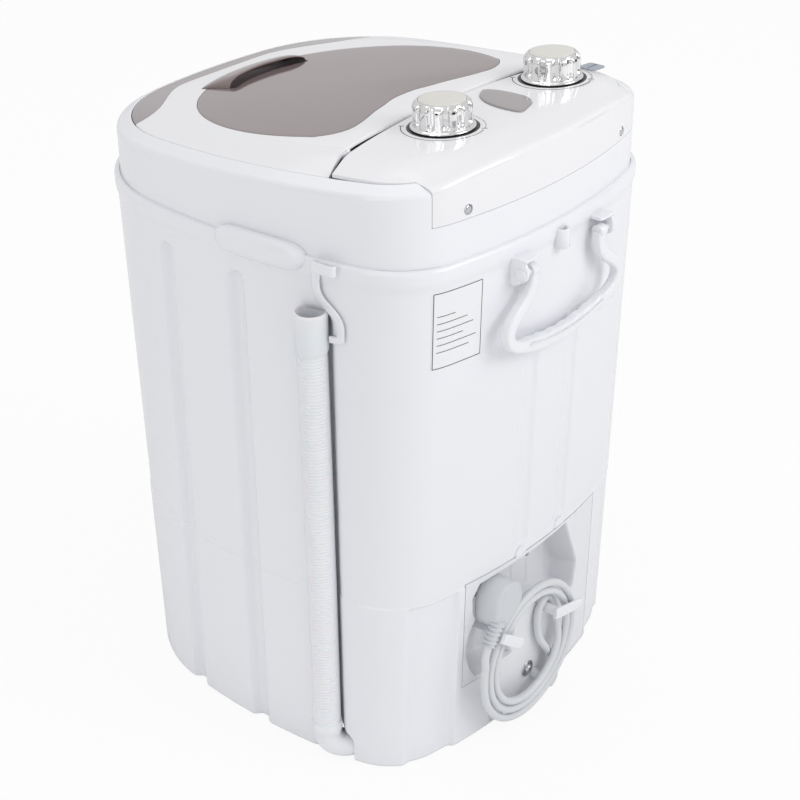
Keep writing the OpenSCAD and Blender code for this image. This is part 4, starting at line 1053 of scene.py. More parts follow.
@dataclass
class Lid:
    """The lid: white frame, smoke window with its finger scoop, and the smoke strip at the front."""

    lid_z: float = 551.6
    slope: float = 0.1
    border: float = 13.6
    skin: float = 2.5
    shoulder: float = 29.0
    window_y: float = -11.5
    window_r: float = 135.0
    scoop_y: float = -5.0
    scoop_in: float = 114.0
    scoop_out: float = 146.0
    scoop_half: float = 24.0

    def row(self, inset: float, share: float, drop: float) -> np.ndarray:
        """One ring of the lid: share 0 at its seam, 1 at its flat top, some way below that.

        Args:
            inset: how far it is set in.
            share: 0 at the seam's height, 1 at the top's.
            drop: how far it lies below that.

        Returns:
            The ring's points.
        """
        pts = RING_PLAN.outline(inset)
        low, high = SEAM_Z + RING_SLOPE * pts[:, 1], self.lid_z + self.slope * pts[:, 1]
        return at_z(pts, low * (1 - share) + high * share - drop)

    def dome(self, drop: float, skirt: float) -> Shape:
        """The whole lid as a solid, set in and down by a drop, with a skirt below its seam.

        Args:
            drop: how far it is set in and down.
            skirt: how far it reaches below the seam.

        Returns:
            The solid.
        """
        base = self.border + drop
        rows = [self.row(base, 0, skirt), self.row(base, 0, 0.9 + drop),
                self.row(base + 0.25, 0, 0.35 + drop), self.row(base + 0.9, 0, drop)]
        for u in np.arange(1, 15) / 14:
            rows.append(self.row(base + 0.9 + self.shoulder * u, math.sin(math.pi / 2 * u) ** 1.15, drop))
        return Shape().stack(rows)

    def on_lid(self, outline: np.ndarray, height: float) -> np.ndarray:
        """Points at a height over the lid's plane."""
        return at_z(outline, self.lid_z + self.slope * outline[:, 1] + height)

    def slab(self, outline: np.ndarray, low: float = -20, high: float = 20) -> Shape:
        """A prism between two heights over the lid's plane."""
        return Shape().stack([self.on_lid(outline, h) for h in (low, high)])

    def window(self, grow: float) -> np.ndarray:
        """The window's outline: a round front and a rear edge with two lobes and a dip.

        Args:
            grow: how far it is grown, in millimetres.

        Returns:
            Its points (x, y).
        """
        half = [(121, 50), (108, 59.5), (92, 63), (76, 60), (62, 55.5), (46, 50), (30, 45.8), (15, 41.2)]
        rear = smooth_path(half + [(0, 40)] + [(-x, y) for x, y in reversed(half)], 5)
        a0 = math.atan2(42 - self.window_y, 128.0)
        g = np.linspace(math.pi - a0, 2 * math.pi + a0, 150)
        front = np.stack([self.window_r * np.cos(g), self.window_y + self.window_r * np.sin(g)], 1)
        pts = np.vstack([front, rear])
        ahead = np.roll(pts, -1, 0) - np.roll(pts, 1, 0)
        nrm = np.stack([ahead[:, 1], -ahead[:, 0]], 1)
        return pts + grow * nrm / np.linalg.norm(nrm, axis=1)[:, None]

    def behind(self) -> Shape:
        """What lies behind the lid's rounded rear edge, with the gap widening to the ends."""
        xs = np.append(np.linspace(-200, 200, 81), (200.0, -200.0))
        ys = seam_y(xs) - 0.8 - 2.2 * swell((np.abs(xs) - 60) / 60)
        ys[-2:] = 300.0
        top = self.lid_z + self.slope * ys
        steps = ((0, 480.0 - top), (0, -2.6), (0.25, -1.5), (0.8, -0.7), (1.6, -0.2), (2.8, 0.05), (9, 0.6),
                 (9, 60))
        return Shape().stack([at_z(np.column_stack([xs, ys - ahead]), top + rise) for ahead, rise in steps])

    def before(self, shift: float) -> Shape:
        """What lies in front of the line between the white frame and the smoke strip.

        Args:
            shift: how far the line is moved to the rear.

        Returns:
            The solid.
        """
        xs = np.linspace(-190, 190, 77)
        ys = -169.0 + 46.0 * swell((np.abs(xs) - 46) / 96) + shift
        return Shape().prism([(-190, -300), (190, -300)] + list(zip(xs, ys))[::-1], 480, 640)

    def scoop(self) -> Shape:
        """The solid that cuts the scoop."""
        half = math.radians(self.scoop_half + 0.2)
        g = np.linspace(-math.pi / 2 - half, -math.pi / 2 + half, 40)
        edges = [np.stack([r * np.cos(turn), self.scoop_y + r * np.sin(turn)], 1)
                 for r, turn in ((self.scoop_out, g), (self.scoop_in, g[::-1]))]
        return self.slab(np.vstack(edges))

    def on_scoop(self, turn: float, radius: float, height: float) -> tuple:
        """A point of the visor, at a turn round the scoop's centre and a height over the lid's plane."""
        y = self.scoop_y + radius * math.sin(turn)
        return radius * math.cos(turn), y, self.lid_z + self.slope * y + height

    def scoop_pieces(self) -> None:
        """The raised finger visor, open to the rear, with its bowl below and its rim."""
        inner, outer = self.scoop_in, self.scoop_out
        turns = np.radians(np.linspace(-90 - self.scoop_half, -90 + self.scoop_half, 72))
        ends = [min(1.0, min(k, len(turns) - 1 - k) / 15.0) for k in range(len(turns))]
        full = [math.sqrt(max(0.0, 1 - (1 - e) ** 2)) for e in ends]
        hood = [(outer + r, h) for r, h in (
            (-0.1, -3.5), (-0.1, 0.6), (-2.5, 2.0), (-7, 3.9), (-14, 5.7), (-21, 6.9), (-25.2, 7.3),
            (-26.2, 6.9), (-25.6, 5.7), (-20, 4.9), (-13, 3.2), (-7, 0.9), (-3.6, -2.2), (-3.0, -3.5))]
        bowl = [(inner + r, h) for r, h in ((0.3, 0.2), (1.4, -1.6), (6, -5.6), (13, -7.8))]
        bowl += [(outer + r, h) for r, h in ((-9, -7.8), (-4, -5.6), (-2.2, -2.6), (-0.2, -2.6), (-0.2, -6.4),
                                             (-8, -9.6))]
        bowl += [(inner + 10, -9.4), (inner + 0.3, -3.4)]
        for name, profile, finish in (("scoop_hood", hood, VISOR), ("scoop_bowl", bowl, SMOKE_TRIM)):
            rows = [[self.on_scoop(turn, r, h * (0.12 + 0.88 * share) if h > 0.5 or h < -2.0 else h)
                     for r, h in profile] for turn, share in zip(turns, full)]
            Piece(name, Shape().stack(rows)).dress(finish, body=Body.LID, sharp=60)
        path = [self.on_scoop(turn, outer - 25.8, 6.6 * (0.12 + 0.88 * share))
                for turn, share in zip(turns, full)]
        rim = Shape().sweep(path, lambda i: rounded(1.7, 1.5, 0.6) * (0.5 + 0.5 * full[i]), (0, 0, 1))
        Piece("scoop_rim", rim).dress(VISOR, body=Body.LID, sharp=60)

    def pane(self) -> Shape:
        """The window pane, faintly crowned, with a rounded edge."""
        outline = self.window(-0.35)
        centre = np.array([0.0, -25.0])
        levels = [(1, -3.0), (1, -0.5), (0.9985, -0.15), (0.996, 0.05), (0.99, 0.12)]
        levels += [(s, 0.12 + 1.3 * (1 - s ** 2)) for s in (0.96, 0.9, 0.8, 0.65, 0.5, 0.35, 0.2, 0.08)]
        return Shape().stack([self.on_lid(centre + (outline - centre) * s, rise) for s, rise in levels])

    def build(self) -> None:
        """Makes the lid."""
        frame = Piece("lid_shell", self.dome(0, 8)).cut(self.dome(self.skin, 30)).cut(self.behind())
        trim = Piece("lid_front_strip", frame.item.data.copy())
        frame.cut(self.slab(self.window(0.0))).cut(self.before(0)).cut(self.scoop())
        for x in (131.7, -137.3):
            frame.cut(Shape().box((x, 89.3, 480), (x + 5.6, 120, LUG_TOP)))
        frame.dress(LID_WHITE, ["lid_frame"], Body.LID, 30)
        trim.cut(self.before(-0.35), "INTERSECT").dress(SMOKE_TRIM, ["lid_front_trim"], Body.LID, 40)
        Piece("window_pane", self.pane()).cut(self.scoop()).dress(SMOKE, ["lid_window"], Body.LID, 40)
        ledge = Piece("window_ledge", self.slab(self.window(5.0), -5.4, -3.1))
        ledge.cut(self.slab(self.window(-5.0))).cut(self.scoop()).dress(LID_WHITE, body=Body.LID)
        self.scoop_pieces()
        eyes = Shape()
        for x in (129.7, 139.3, -129.7, -139.3):
            eyes.lathe([(1.25, -2), (2.4, -2), (2.4, 2), (1.25, 2)], 32, placed((x, HINGE_Y, HINGE_Z), 90, "Y"),
                       closed=True)
        Piece("hinge_eyes", eyes).dress(LID_WHITE, body=Body.LID)


@dataclass
class Knob:
    """A chrome timer knob with a fluted skirt and an ivory cap."""

    x: float
    body: Body
    prefix: str
    flange_r: float = 26.35
    skirt_r: float = 24.0
    cap_r: float = 19.35
    flutes: int = 12
    flute_depth: float = 2.3

    def skirt(self, place: Matrix) -> Shape:
        """The flange and the fluted skirt.

        Args:
            place: the place of the knob's foot.

        Returns:
            The closed skin.
        """
        g = full_turn(self.flutes * 24)
        wave = np.abs(((g * self.flutes / (2 * np.pi)) % 1) - 0.5) * 2
        f, s, c = self.flange_r, self.skirt_r, self.cap_r
        profile = [(3.2, 0.3), (f - 0.4, 0.3), (f, 0.7), (f, 1.6), (f - 0.5, 2.2), (s + 0.5, 2.5), (s, 3.1)]
        profile += [(s - 0.02 * k, z) for k, z in enumerate((3.8, 4.6, 5.6, 6.8, 8.4, 10.5, 13, 15.5, 17.5))]
        profile += [(s - 0.4, 19.0), (s - 1.1, 20.4), (s - 2.2, 21.4), (c + 1.6, 22.3), (c + 0.6, 22.8),
                    (c + 0.1, 22.6), (c, 20.9), (6.0, 20.4), (3.2, 20.4)]
        rows = []
        for r, z in profile:
            dig = 0.0
            if 3.5 < z < 21.6 and r > c + 1:
                lean = np.sqrt((wave / 0.56) ** 2 + max(0.0, (7.5 - z) / 3.6) ** 2)
                fade = 1 - 0.5 * float(swell((z - 18.5) / 3))
                dig = self.flute_depth * (1 - swell((lean - 0.55) / 0.45)) * fade
            rows.append(at_z(np.stack([(r - dig) * np.cos(g), (r - dig) * np.sin(g)], 1), z))
        return Shape().stack(moved(np.array(rows), place), loop=True)

    def build(self, console: Console) -> None:
        """Makes the knob on its console.

        Args:
            console: the console that carries it.
        """
        at, name, c = console.at_knob(self.x), self.prefix, self.cap_r
        Piece(f"{name}_knob_skirt", self.skirt(at)).dress(CHROME, [f"{name}_knob"], self.body, 50)
        cap = Shape().lathe([(0, 20.6), (c - 0.15, 20.6), (c - 0.15, 22.6), (c - 0.5, 23.1), (c - 1.4, 23.4),
                             (c - 5, 23.85), (c - 10, 24.15), (c - 15, 24.3), (0, 24.35)], 96, at)
        Piece(f"{name}_knob_face", cap).dress(IVORY, [f"{name}_knob_cap"], self.body, 60)


@dataclass
class DrainHose:
    """The ribbed drain hose in its channel, with its cuff, elbow and strap."""

    y: float = 99.0
    low: float = 42.0
    top: float = 436.0
    radius: float = 12.5
    bore: float = 9.0
    pitch: float = 3.0
    rib_depth: float = 0.9
    steps_per_rib: float = 6.0
    elbow_r: float = 12.4
    bend_r: float = 17.0
    tail: float = 14.0

    def centre(self, z: float) -> float:
        """Where the hose's middle is at a height."""
        return 181.5 + 2.5 * ((z - self.low) / (self.top - self.low)) ** 2

    def path(self) -> list:
        """The hose's middle line in metres."""
        return metres([(self.centre(z), self.y, z) for z in np.linspace(self.low, self.top, 60)])

    def tree(self) -> bpy.types.GeometryNodeTree:
        """The node tree that turns a line into a ribbed tube."""
        tree = bpy.data.node_groups.new("ribbed_tube", "GeometryNodeTree")
        face = tree.interface
        face.new_socket("Geometry", in_out="INPUT", socket_type="NodeSocketGeometry")
        for name, value in (("Radius", self.radius), ("Rib depth", self.rib_depth), ("Pitch", self.pitch)):
            face.new_socket(name, in_out="INPUT", socket_type="NodeSocketFloat").default_value = value * MM
        face.new_socket("Finish", in_out="INPUT", socket_type="NodeSocketMaterial")
        face.new_socket("Geometry", in_out="OUTPUT", socket_type="NodeSocketGeometry")
        graph = Graph(tree)
        given = graph.add("NodeGroupInput").outputs
        step = graph.calc("DIVIDE", given["Pitch"], self.steps_per_rib)
        line = graph.add("GeometryNodeResampleCurve", {"Curve": given["Geometry"], "Length": step},
                         mode="LENGTH")
        index = graph.add("GeometryNodeInputIndex").outputs[0]
        wave = graph.calc("COSINE", graph.calc("MULTIPLY", index, 2 * math.pi / self.steps_per_rib))
        dip = graph.calc("MULTIPLY", graph.calc("SUBTRACT", wave, 1.0), given["Rib depth"])
        radius = graph.calc("MULTIPLY_ADD", dip, 0.5, given["Radius"])
        outer = graph.add("GeometryNodeSetCurveRadius", {"Curve": line.outputs["Curve"], "Radius": radius})
        ring = graph.add("GeometryNodeCurvePrimitiveCircle", {"Resolution": 40, "Radius": 1.0})
        scale = graph.add("GeometryNodeInputRadius").outputs[0]
        skin = graph.add("GeometryNodeCurveToMesh", {"Curve": outer.outputs["Curve"], "Scale": scale,
                                                     "Profile Curve": ring.outputs["Curve"]})
        real = graph.add("GeometryNodeRealizeInstances", {"Geometry": skin.outputs["Mesh"]})
        dressed = graph.add("GeometryNodeSetMaterial", {"Geometry": real.outputs["Geometry"],
                                                        "Material": given["Finish"]})
        graph.add("NodeGroupOutput", {"Geometry": dressed.outputs["Geometry"]})
        return tree

    def tube(self) -> Piece:
        """The ribbed tube, from its node tree."""
        path = self.path()
        curve = bpy.data.curves.new("hose_line", "CURVE")
        curve.dimensions = "3D"
        line = curve.splines.new("POLY")
        line.points.add(len(path) - 1)
        for point, place in zip(line.points, path):
            point.co = (*place, 1)
        item = add_object("hose_line", curve)
        change = item.modifiers.new("ribs", "NODES")
        change.node_group = self.tree()
        for socket in change.node_group.interface.items_tree:
            if socket.name == "Finish":
                change[socket.identifier] = HOSE_WHITE.material()
        mesh = applied_mesh(item)
        bpy.data.objects.remove(item)
        return Piece("ribbed_hose", mesh)

    def cuff(self) -> Shape:
        """The plain cuff on the hose's upper end."""
        profile = [(12.7, 0.3), (13.2, 0.0), (13.6, 0.6), (13.6, 30.0), (13.85, 30.8), (13.85, 33.2),
                   (13.4, 34.0), (12.0, 34.0), (11.4, 33.2), (11.4, 20.0), (12.7, 19.6)]
        place = placed((self.centre(self.top), self.y, self.top - 24))
        return Shape().lathe(profile, 64, place, closed=True)

    def elbow(self) -> Shape:
        """The elbow that takes the hose into the foot of the casing."""
        turn = math.radians(40)
        e, up = np.array([-math.cos(turn), math.sin(turn), 0]), np.array([0, 0, 1])
        side = np.array([-e[1], e[0], 0])
        top = np.array([self.centre(self.low), self.y, self.low - 12])
        r, bore = self.elbow_r, self.bore
        sections = [(0, -12, r + 0.6), (0, -11.4, r + 1.0), (0, -3, r + 1.0), (0, -2.0, r + 0.6), (0, -1.4, r)]
        sections += [(g, 0, r) for g in range(0, 91, 6)] + [(90, self.tail, r), (90, self.tail, bore)]
        sections += [(g, 0, bore) for g in range(90, -1, -6)] + [(0, -12, bore)]
        rows = []
        for g, along, radius in sections:
            a = math.radians(g)
            ahead, across = math.sin(a) * e - math.cos(a) * up, math.cos(a) * e + math.sin(a) * up
            middle = top + self.bend_r * ((1 - math.cos(a)) * e - math.sin(a) * up) + along * ahead
            rows.append(middle + circle(radius, 40) @ np.array([across, side]))
        return Shape().stack(rows, loop=True)

    def strap(self) -> Shape:
        """The clip that holds the cuff: a loop on the rim, a strap down to the hose and its foot."""
        x = side_x(187.8, 104.0) + 0.2
        parts = (([(1.2, 102, 486.0), (5.6, 103, 485.6), (5.4, 112, 485.0), (3.6, 121, 484.4),
                   (0.6, 122.6, 484.2)], 5, rounded(1.8, 9.0, 0.8), (0, 0, 1)),
                 ([(1.3, 103.5, 480), (1.3, 103, 466), (0.2, 107, 456), (-2.2, 117, 446), (-2.8, 122.5, 438),
                   (-3.0, 122.8, 428), (-3.0, 122.5, 423.5)], 6, rounded(7.0, 2.8, 1.2), (1, 0, 0)),
                 ([(-3.0, 123.5, 424.5), (-2.4, 118, 423.6), (-1.5, 113.0, 423.2)], 5, rounded(2.8, 6.0, 1.2),
                  (0, 0, 1)))
        out = Shape()
        for points, steps, section, up in parts:
            out.sweep(smooth_path(np.array(points) + [x, 0, 0], steps), section, up)
        return out

    def build(self) -> None:
        """Makes the hose and its fittings."""
        hose = self.tube().dress(HOSE_WHITE, ["drain_hose"], sharp=80)
        cuff = Piece("hose_end_cuff", self.cuff()).dress(HOSE_WHITE, ["hose_cuff"], sharp=50)
        Piece("hose_foot_elbow", self.elbow()).dress(HOSE_WHITE, ["hose_elbow"], sharp=50)
        Piece("hose_strap", self.strap()).dress(WHITE, ["hose_clip"], sharp=50)
        path = self.path()


@dataclass
class CarryHandle:
    """The swinging carry handle with its grooved grip."""

    half: float = 47.0
    drop: float = 72.0
    scallop: float = 17.0

    def line(self) -> np.ndarray:
        """The handle's middle line, from one pivot to the other."""
        right = [(self.half + x, z) for x, z in ((0, 0), (0, -9), (2.5, -17), (10, -25), (20, -32), (28, -40),
                                                 (30, -49), (24, -58), (8, -64.5), (-19, -70.0))]
        flat = smooth_path(right + [(0, -self.drop)] + [(-x, z) for x, z in reversed(right)], 7)
        return np.column_stack([flat[:, 0], np.full(len(flat), PIVOT_Y), flat[:, 1] + PIVOT_Z])

    def section(self, x: float, z: float) -> np.ndarray:
        """The band's section at a place: a rounded channel, fuller and scalloped at the grip.

        Args:
            x: the place's x.
            z: its height.

        Returns:
            The section's points (across, up).
        """
        grip = float(swell((62 - abs(x)) / 18)) if z < PIVOT_Z - 30 else 0.0
        pts = rounded(10.5 + 2.0 * grip, 9.6, 3.2)
        pts[pts[:, 0] < 0, 0] -= 1.32 * grip * (0.5 + 0.5 * math.cos(x * 2 * math.pi / self.scallop))
        groove = (np.abs(pts[:, 0]) < 4.0) & (pts[:, 1] > 4.2)
        pts[groove, 1] -= 0.9 * (0.35 + 0.65 * grip)
        return pts

    def build(self) -> None:
        """Makes the handle, its pivot pins and the rib along its grip."""
        path = self.line()
        band = Shape().sweep(path, lambda i: self.section(path[i][0], path[i][2]), (0, 1, 0))
        for side in (1, -1):
            pin = [(0, -3.6), (5.0, -3.6), (5.4, -3.0), (5.4, 4.4), (3.0, 4.8), (3.0, 14.5), (0, 14.5)]
            band.lathe(pin, 36, placed((side * self.half, PIVOT_Y, PIVOT_Z), side * 90, "Y"))
        Piece("carry_handle_band", band).dress(HANDLE_WHITE, ["carry_handle"], Body.HANDLE, 60)
        low = path[(path[:, 2] < PIVOT_Z - 58) & (np.abs(path[:, 0]) < 52)]
        rib = Shape().sweep(low + [0, 0, 2.2], rounded(1.0, 0.8, 0.3, 2) + [0, 5.1], (0, 1, 0))
        Piece("handle_rib", rib).dress(HANDLE_WHITE, body=Body.HANDLE, sharp=60)


@dataclass
class ServiceCover:
    """The rear cover with the cord pocket, its hooks, tabs, screw and washer."""

    floor: float = 164.5
    wall_t: float = 2.4
    slope_width: float = 7.5
    screw_at: tuple = (9.0, 37.0)

    @staticmethod
    def outline(grow: float) -> list:
        """The cover's outline in x and z, with each edge moved out by some millimetres.

        Args:
            grow: how far it is grown, in millimetres.

        Returns:
            Its corners (x, z).
        """
        corners = [(97, 66, 1, -1), (97, 178, 1, 1), (-96, 174, -1, 1), (-99, 30, -1, -1), (-98, 6, -1, -1),
                   (60, 6, 1, -1), (66, 60, 1, -1), (72, 66, 1, -1)]
        return [(x + grow * sx, z + grow * sz) for x, z, sx, sz in corners]

    @staticmethod
    def pocket() -> np.ndarray:
        """The pocket's outline in x and z."""
        arc = [(40 + 53 * math.cos(g), 105 + 53 * math.sin(g)) for g in np.radians(range(-40, 36, 15))]
        left, right = [(-44, 172), (-72, 111), (-66, 78), (-40, 70)], [(87, 143), (88, 158), (80, 171)]
        return np.array(left + arc + right)

    @staticmethod
    def inside(x: np.ndarray, z: np.ndarray, poly: Sequence) -> np.ndarray:
        """Signed distance to an outline, positive inside.

        Args:
            x: the places' x.
            z: the places' z.
            poly: the outline's corners in x and z.

        Returns:
            The distances in millimetres.
        """
        best = np.full(x.shape, 1e9)
        odd = np.zeros(x.shape, bool)
        for (x0, z0), (x1, z1) in zip(poly, np.roll(poly, -1, 0)):
            dx, dz = x1 - x0, z1 - z0
            t = np.clip(((x - x0) * dx + (z - z0) * dz) / (dx * dx + dz * dz), 0, 1)
            best = np.minimum(best, np.hypot(x - x0 - t * dx, z - z0 - t * dz))
            odd ^= ((z0 > z) != (z1 > z)) & (x < (x1 - x0) * (z - z0) / (z1 - z0 + 1e-12) + x0)
        return np.where(odd, best, -best)

    def surface(self, x: np.ndarray, z: np.ndarray) -> np.ndarray:
        """Depth of the cover's outer face, with its pocket, the winding block in it and its floor's ribs.

        Args:
            x: the places' x.
            z: their heights.

        Returns:
            The depths.
        """
        wall = self.wall_y(x, z)
        pocket = self.pocket()
        within = self.inside(x, z, pocket)
        d = self.inside(x, z, pocket + (pocket.mean(0) - pocket) * 0.09) + 7.0
        d = np.where(within < 0, np.minimum(d, within), d)
        corners = [(31, 115), (11, 113), (-56, 89), (-84, 78), (-70, 64), (-19, 65), (38, 71)]
        block = self.inside(x, z, corners)
        sink = swell((d + 0.8) / self.slope_width) * (1 - swell((block + 2.5) / 5.0))
        depth = self.floor + 0.6 * np.clip(6 - d, 0, 6) / 6
        ribs = 0.9 * np.clip(np.cos(x * 2 * np.pi / 24.0) - 0.72, 0, 1) / 0.28 * swell((d - 5) / 3)
        return wall * (1 - sink) + (depth + ribs) * sink

    def panel(self) -> Piece:
        """The cover's skin and its pocket as one moulded sheet, with three slots."""
        x, z = np.meshgrid(np.linspace(-103, 101, 190), np.linspace(3, 181, 168))
        front = np.stack([x, self.surface(x, z), z], 2)
        back = front.copy()
        back[:, :, 1] -= self.wall_t + 0.6 * swell((self.inside(x, z, self.pocket()) + 4) / 4)
        piece = Piece("cover_panel", Shape().sheet(front, back))
        piece.cut(Shape().prism(self.outline(-0.35), 120, 240, along_y=True), "INTERSECT")
        for k in (-1, 0, 1):
            slot = circle(1.0, 20) * [2.6, 1.7] + [-32 + 9 * k, 139 - 4 * k]
            piece.cut(Shape().prism(slot, 150, 180, along_y=True))
        return piece

    @staticmethod
    def wall_y(x: np.ndarray | float, z: np.ndarray | float) -> np.ndarray | float:
        """Depth of the casing's lower rear face at a place."""
        return end_y(casing_half(z)[1], x, STEP_OUT)

    def hooks(self) -> Shape:
        """The two hooks that the cord is wound on, each a post, a leaf and a rib below the leaf."""
        out = Shape()
        reach = np.linspace(0, 1, 16)
        size = [min(1.0, 0.75 + 3 * u) * (1 - 0.2 * u) for u in reach]
        for x, z, turn, span in ((54, 104, 38, 34), (-8, 100, 194, 42)):
            out.lathe([(0, 0), (6.2, 0), (5.0, 1.6), (4.5, 4), (4.5, 48.5), (0, 48.5)], 32,
                      placed((x, self.floor - 1, z), -90))
            ahead = np.array([math.cos(math.radians(turn)), 0, math.sin(math.radians(turn))])
            start = np.array([x, 212.4, z]) - 6 * ahead
            leaf = start + np.outer(reach * (span + 1.5), ahead)
            out.sweep(leaf, lambda i: rounded(12.0 * size[i], 3.1, 1.4, 4), (0, 1, 0))
            rib = start + np.outer(np.linspace(3, span - 6, 10), ahead) - [0, 3.2, 0]
            out.sweep(rib, rounded(2.2, 4.4, 0.8, 3), (0, 1, 0))
        return out

    def tabs(self) -> Shape:
        """The two snap tabs over the cover's upper edge."""
        out = Shape()
        y = float(end_y(casing_half(180)[1], 29.0))
        for x in (29.0, -29.0):
            pts = [(x + 7.0 * math.cos(g), 179.0 + 5.6 * math.sin(g)) for g in np.linspace(0, math.pi, 15)]
            out.prism(pts + [(x - 7.0, 176.5), (x + 7.0, 176.5)], y - 2.0, y + 1.0, along_y=True)
        return out

    def screw(self) -> None:
        """The cover's screw with its cross, and its washer."""
        x, z = self.screw_at
        place = placed((x, float(self.wall_y(x, z)), z), -90)
        profile = [(0, -12), (1.95, -12), (1.95, 1.3), (4.3, 1.3), (4.3, 1.9), (3.9, 2.9), (2.8, 3.6), (0, 3.8)]
        head = Piece("cover_screw_head", Shape().lathe(profile, 40, place))
        for turn in (0.5, 0.5 + math.pi / 2):
            tool = Shape().box((-2.7, -0.55, 2.3), (2.7, 0.55, 6.0))
            tool.verts = moved(np.array(tool.verts), place @ Matrix.Rotation(turn, 4, "Z")).tolist()
            head.cut(tool)
        head.dress(STEEL, ["cover_screw"], sharp=40)
        profile = [(2.2, 0.1), (8.0, 0.1), (8.0, 0.9), (7.6, 1.3), (2.2, 1.3)]
        washer = Piece("cover_screw_washer", Shape().lathe(profile, 48, place, closed=True))
        washer.dress(STEEL, ["cover_washer"])

    def build(self) -> None:
        """Makes the cover."""
        self.panel().dress(COVER_WHITE, ["service_cover"], sharp=70)
        Piece("cord_hooks", self.hooks()).dress(WHITE, sharp=50)
        Piece("cover_tabs", self.tabs()).dress(WHITE, sharp=50)
        self.screw()


@dataclass
class MainsCord:
    """The mains cord wound on its hooks, from the gland to the plug."""

    diameter: float = 7.0
    centre: tuple = (24.0, 76.0)
    half: float = 48.0
    pitch: float = 8.0
    start: float = 155.0
    turns: float = 2.6
    rings: int = 24
    inner_y: float = 197.5
    outer_y: float = 205.0
    plug_at: tuple = (62.0, 150.0)
    gland_at: tuple = (-1.0, 26.0)
    gland_way: tuple = (-0.65, 0, -0.76)
    relief_at: tuple = (88.0, 205, 117)
    relief_way: tuple = (-0.57, 0, 0.82)

    def from_gland(self, *reaches: float) -> list:
        """Points ahead of where the gland bends out of the cover.

        Args:
            reaches: how far ahead each point is.

        Returns:
            The points.
        """
        x, z = self.gland_at
        root = np.array([x, float(ServiceCover.wall_y(x, z)) + 6.5, z])
        return [root + reach * np.array(self.gland_way) for reach in reaches]

    def from_relief(self, *reaches: float) -> list:
        """Points along the plug's strain relief."""
        return [np.array(self.relief_at) + reach * np.array(self.relief_way) for reach in reaches]

    def spiral(self, s: float) -> tuple:
        """A point of the winding after s turns.

        Args:
            s: turns from the winding's start.

        Returns:
            The point.
        """
        g = math.radians(self.start + 360 * s)
        r = self.half + self.pitch * s
        return (self.centre[0] + r * math.cos(g), self.inner_y + 7.0 * float(swell(s / 0.18)),
                self.centre[1] + r * math.sin(g))

    def points(self) -> np.ndarray:
        """The route's points, as in the part's source."""
        y = self.inner_y
        flat = ((-26, 8), (-27, 17), (-22, 34), (-11, 52), (0, 70), (4, 88), (3, 101), (-4, 110), (-13, 109))
        lead = [(-19, 198, 5)] + [(x, y, z) for x, z in flat]
        turns = [self.spiral(i / self.rings) for i in range(int(self.turns * self.rings) + 1)]
        last = [(92, self.outer_y, 97), (92.5, self.outer_y, 106)]
        return np.array(self.from_gland(13, 20) + lead + turns + last + self.from_relief(-2, 4))

    def gland(self) -> Shape:
        """The ribbed, tapering gland."""
        root, bend, ahead, end = self.from_gland(0, 1.5, 4, 17)
        inward = [root - [0, depth, 0] for depth in (16, 8, 3)]
        line = smooth_path(inward + [bend + [0, 0.8, 0], ahead, end], 8)
        reach = np.linspace(0, 1, len(line))

        def size(i: int) -> np.ndarray:
            """The section at a point."""
            rib = 0.5 + 0.5 * math.cos(reach[i] * 2 * math.pi * 9)
            return circle(5.0 - 0.7 * reach[i] + (0.7 * rib if reach[i] > 0.4 else 0), 24)

        return Shape().sweep(line, size, (0, 1, 0.2))

    def plug(self) -> Shape:
        """The plug's round body, drawn out to its laddered strain relief."""
        turns = full_turn(96)
        away = np.abs((np.degrees(turns) + 55 + 180) % 360 - 180)
        reach = 19.0 + 7.0 * swell(1 - away / 52)
        rows = []
        for inset, y in ((1.0, 183.8), (0.2, 184.6), (0, 186), (0, 204.2), (0.5, 206.6), (1.7, 208.1),
                         (3.2, 208.6), (4.2, 208.2), (6.0, 208.1), (12.0, 208.1)):
            r = reach - inset
            flat = np.stack([r * np.cos(turns), r * np.sin(turns)], 1) + self.plug_at
            rows.append(at_z(flat, y)[:, [0, 2, 1]])

        def rung(i: int) -> np.ndarray:
            """The relief's section: wide flat rungs between narrow waists."""
            s = i / 72
            wide = float(swell((math.cos(s * 2 * math.pi * 6) + 0.35) / 0.7))
            return rounded(9.5 + 3.4 * wide + 2.6 * s, 8.2 + 1.0 * wide + 1.0 * s, 3.2, 4)

        return Shape().stack(rows).sweep(self.from_relief(*np.linspace(0, 24, 73)), rung, (0, 1, 0))

    def build(self) -> None:
        """Makes the cord, its gland and its plug."""
        path = smooth_path(self.points(), 5)
        line = Shape().sweep(path, circle(self.diameter / 2, 20), (0, 1, 0))
        cord = Piece("mains_cord", line).dress(CORD_GREY, ["power_cord"], sharp=80)
        Piece("cord_relief", self.gland()).dress(CORD_GREY, ["cord_gland"], sharp=60)
        pins = Shape()
        for x in (-9.5, 9.5):
            pins.lathe([(0, 0.0), (1.6, 0.1), (2.3, 1.0), (2.4, 2.0), (2.4, 19.5), (0, 19.5)], 28,
                       placed((self.plug_at[0] + x, 164.8, self.plug_at[1]), -90))
        plug = Piece("plug_shell", self.plug()).dress(PLUG_GREY, ["plug_body"], sharp=50)
        prongs = Piece("plug_prongs", pins).dress(STEEL, ["plug_pins"])


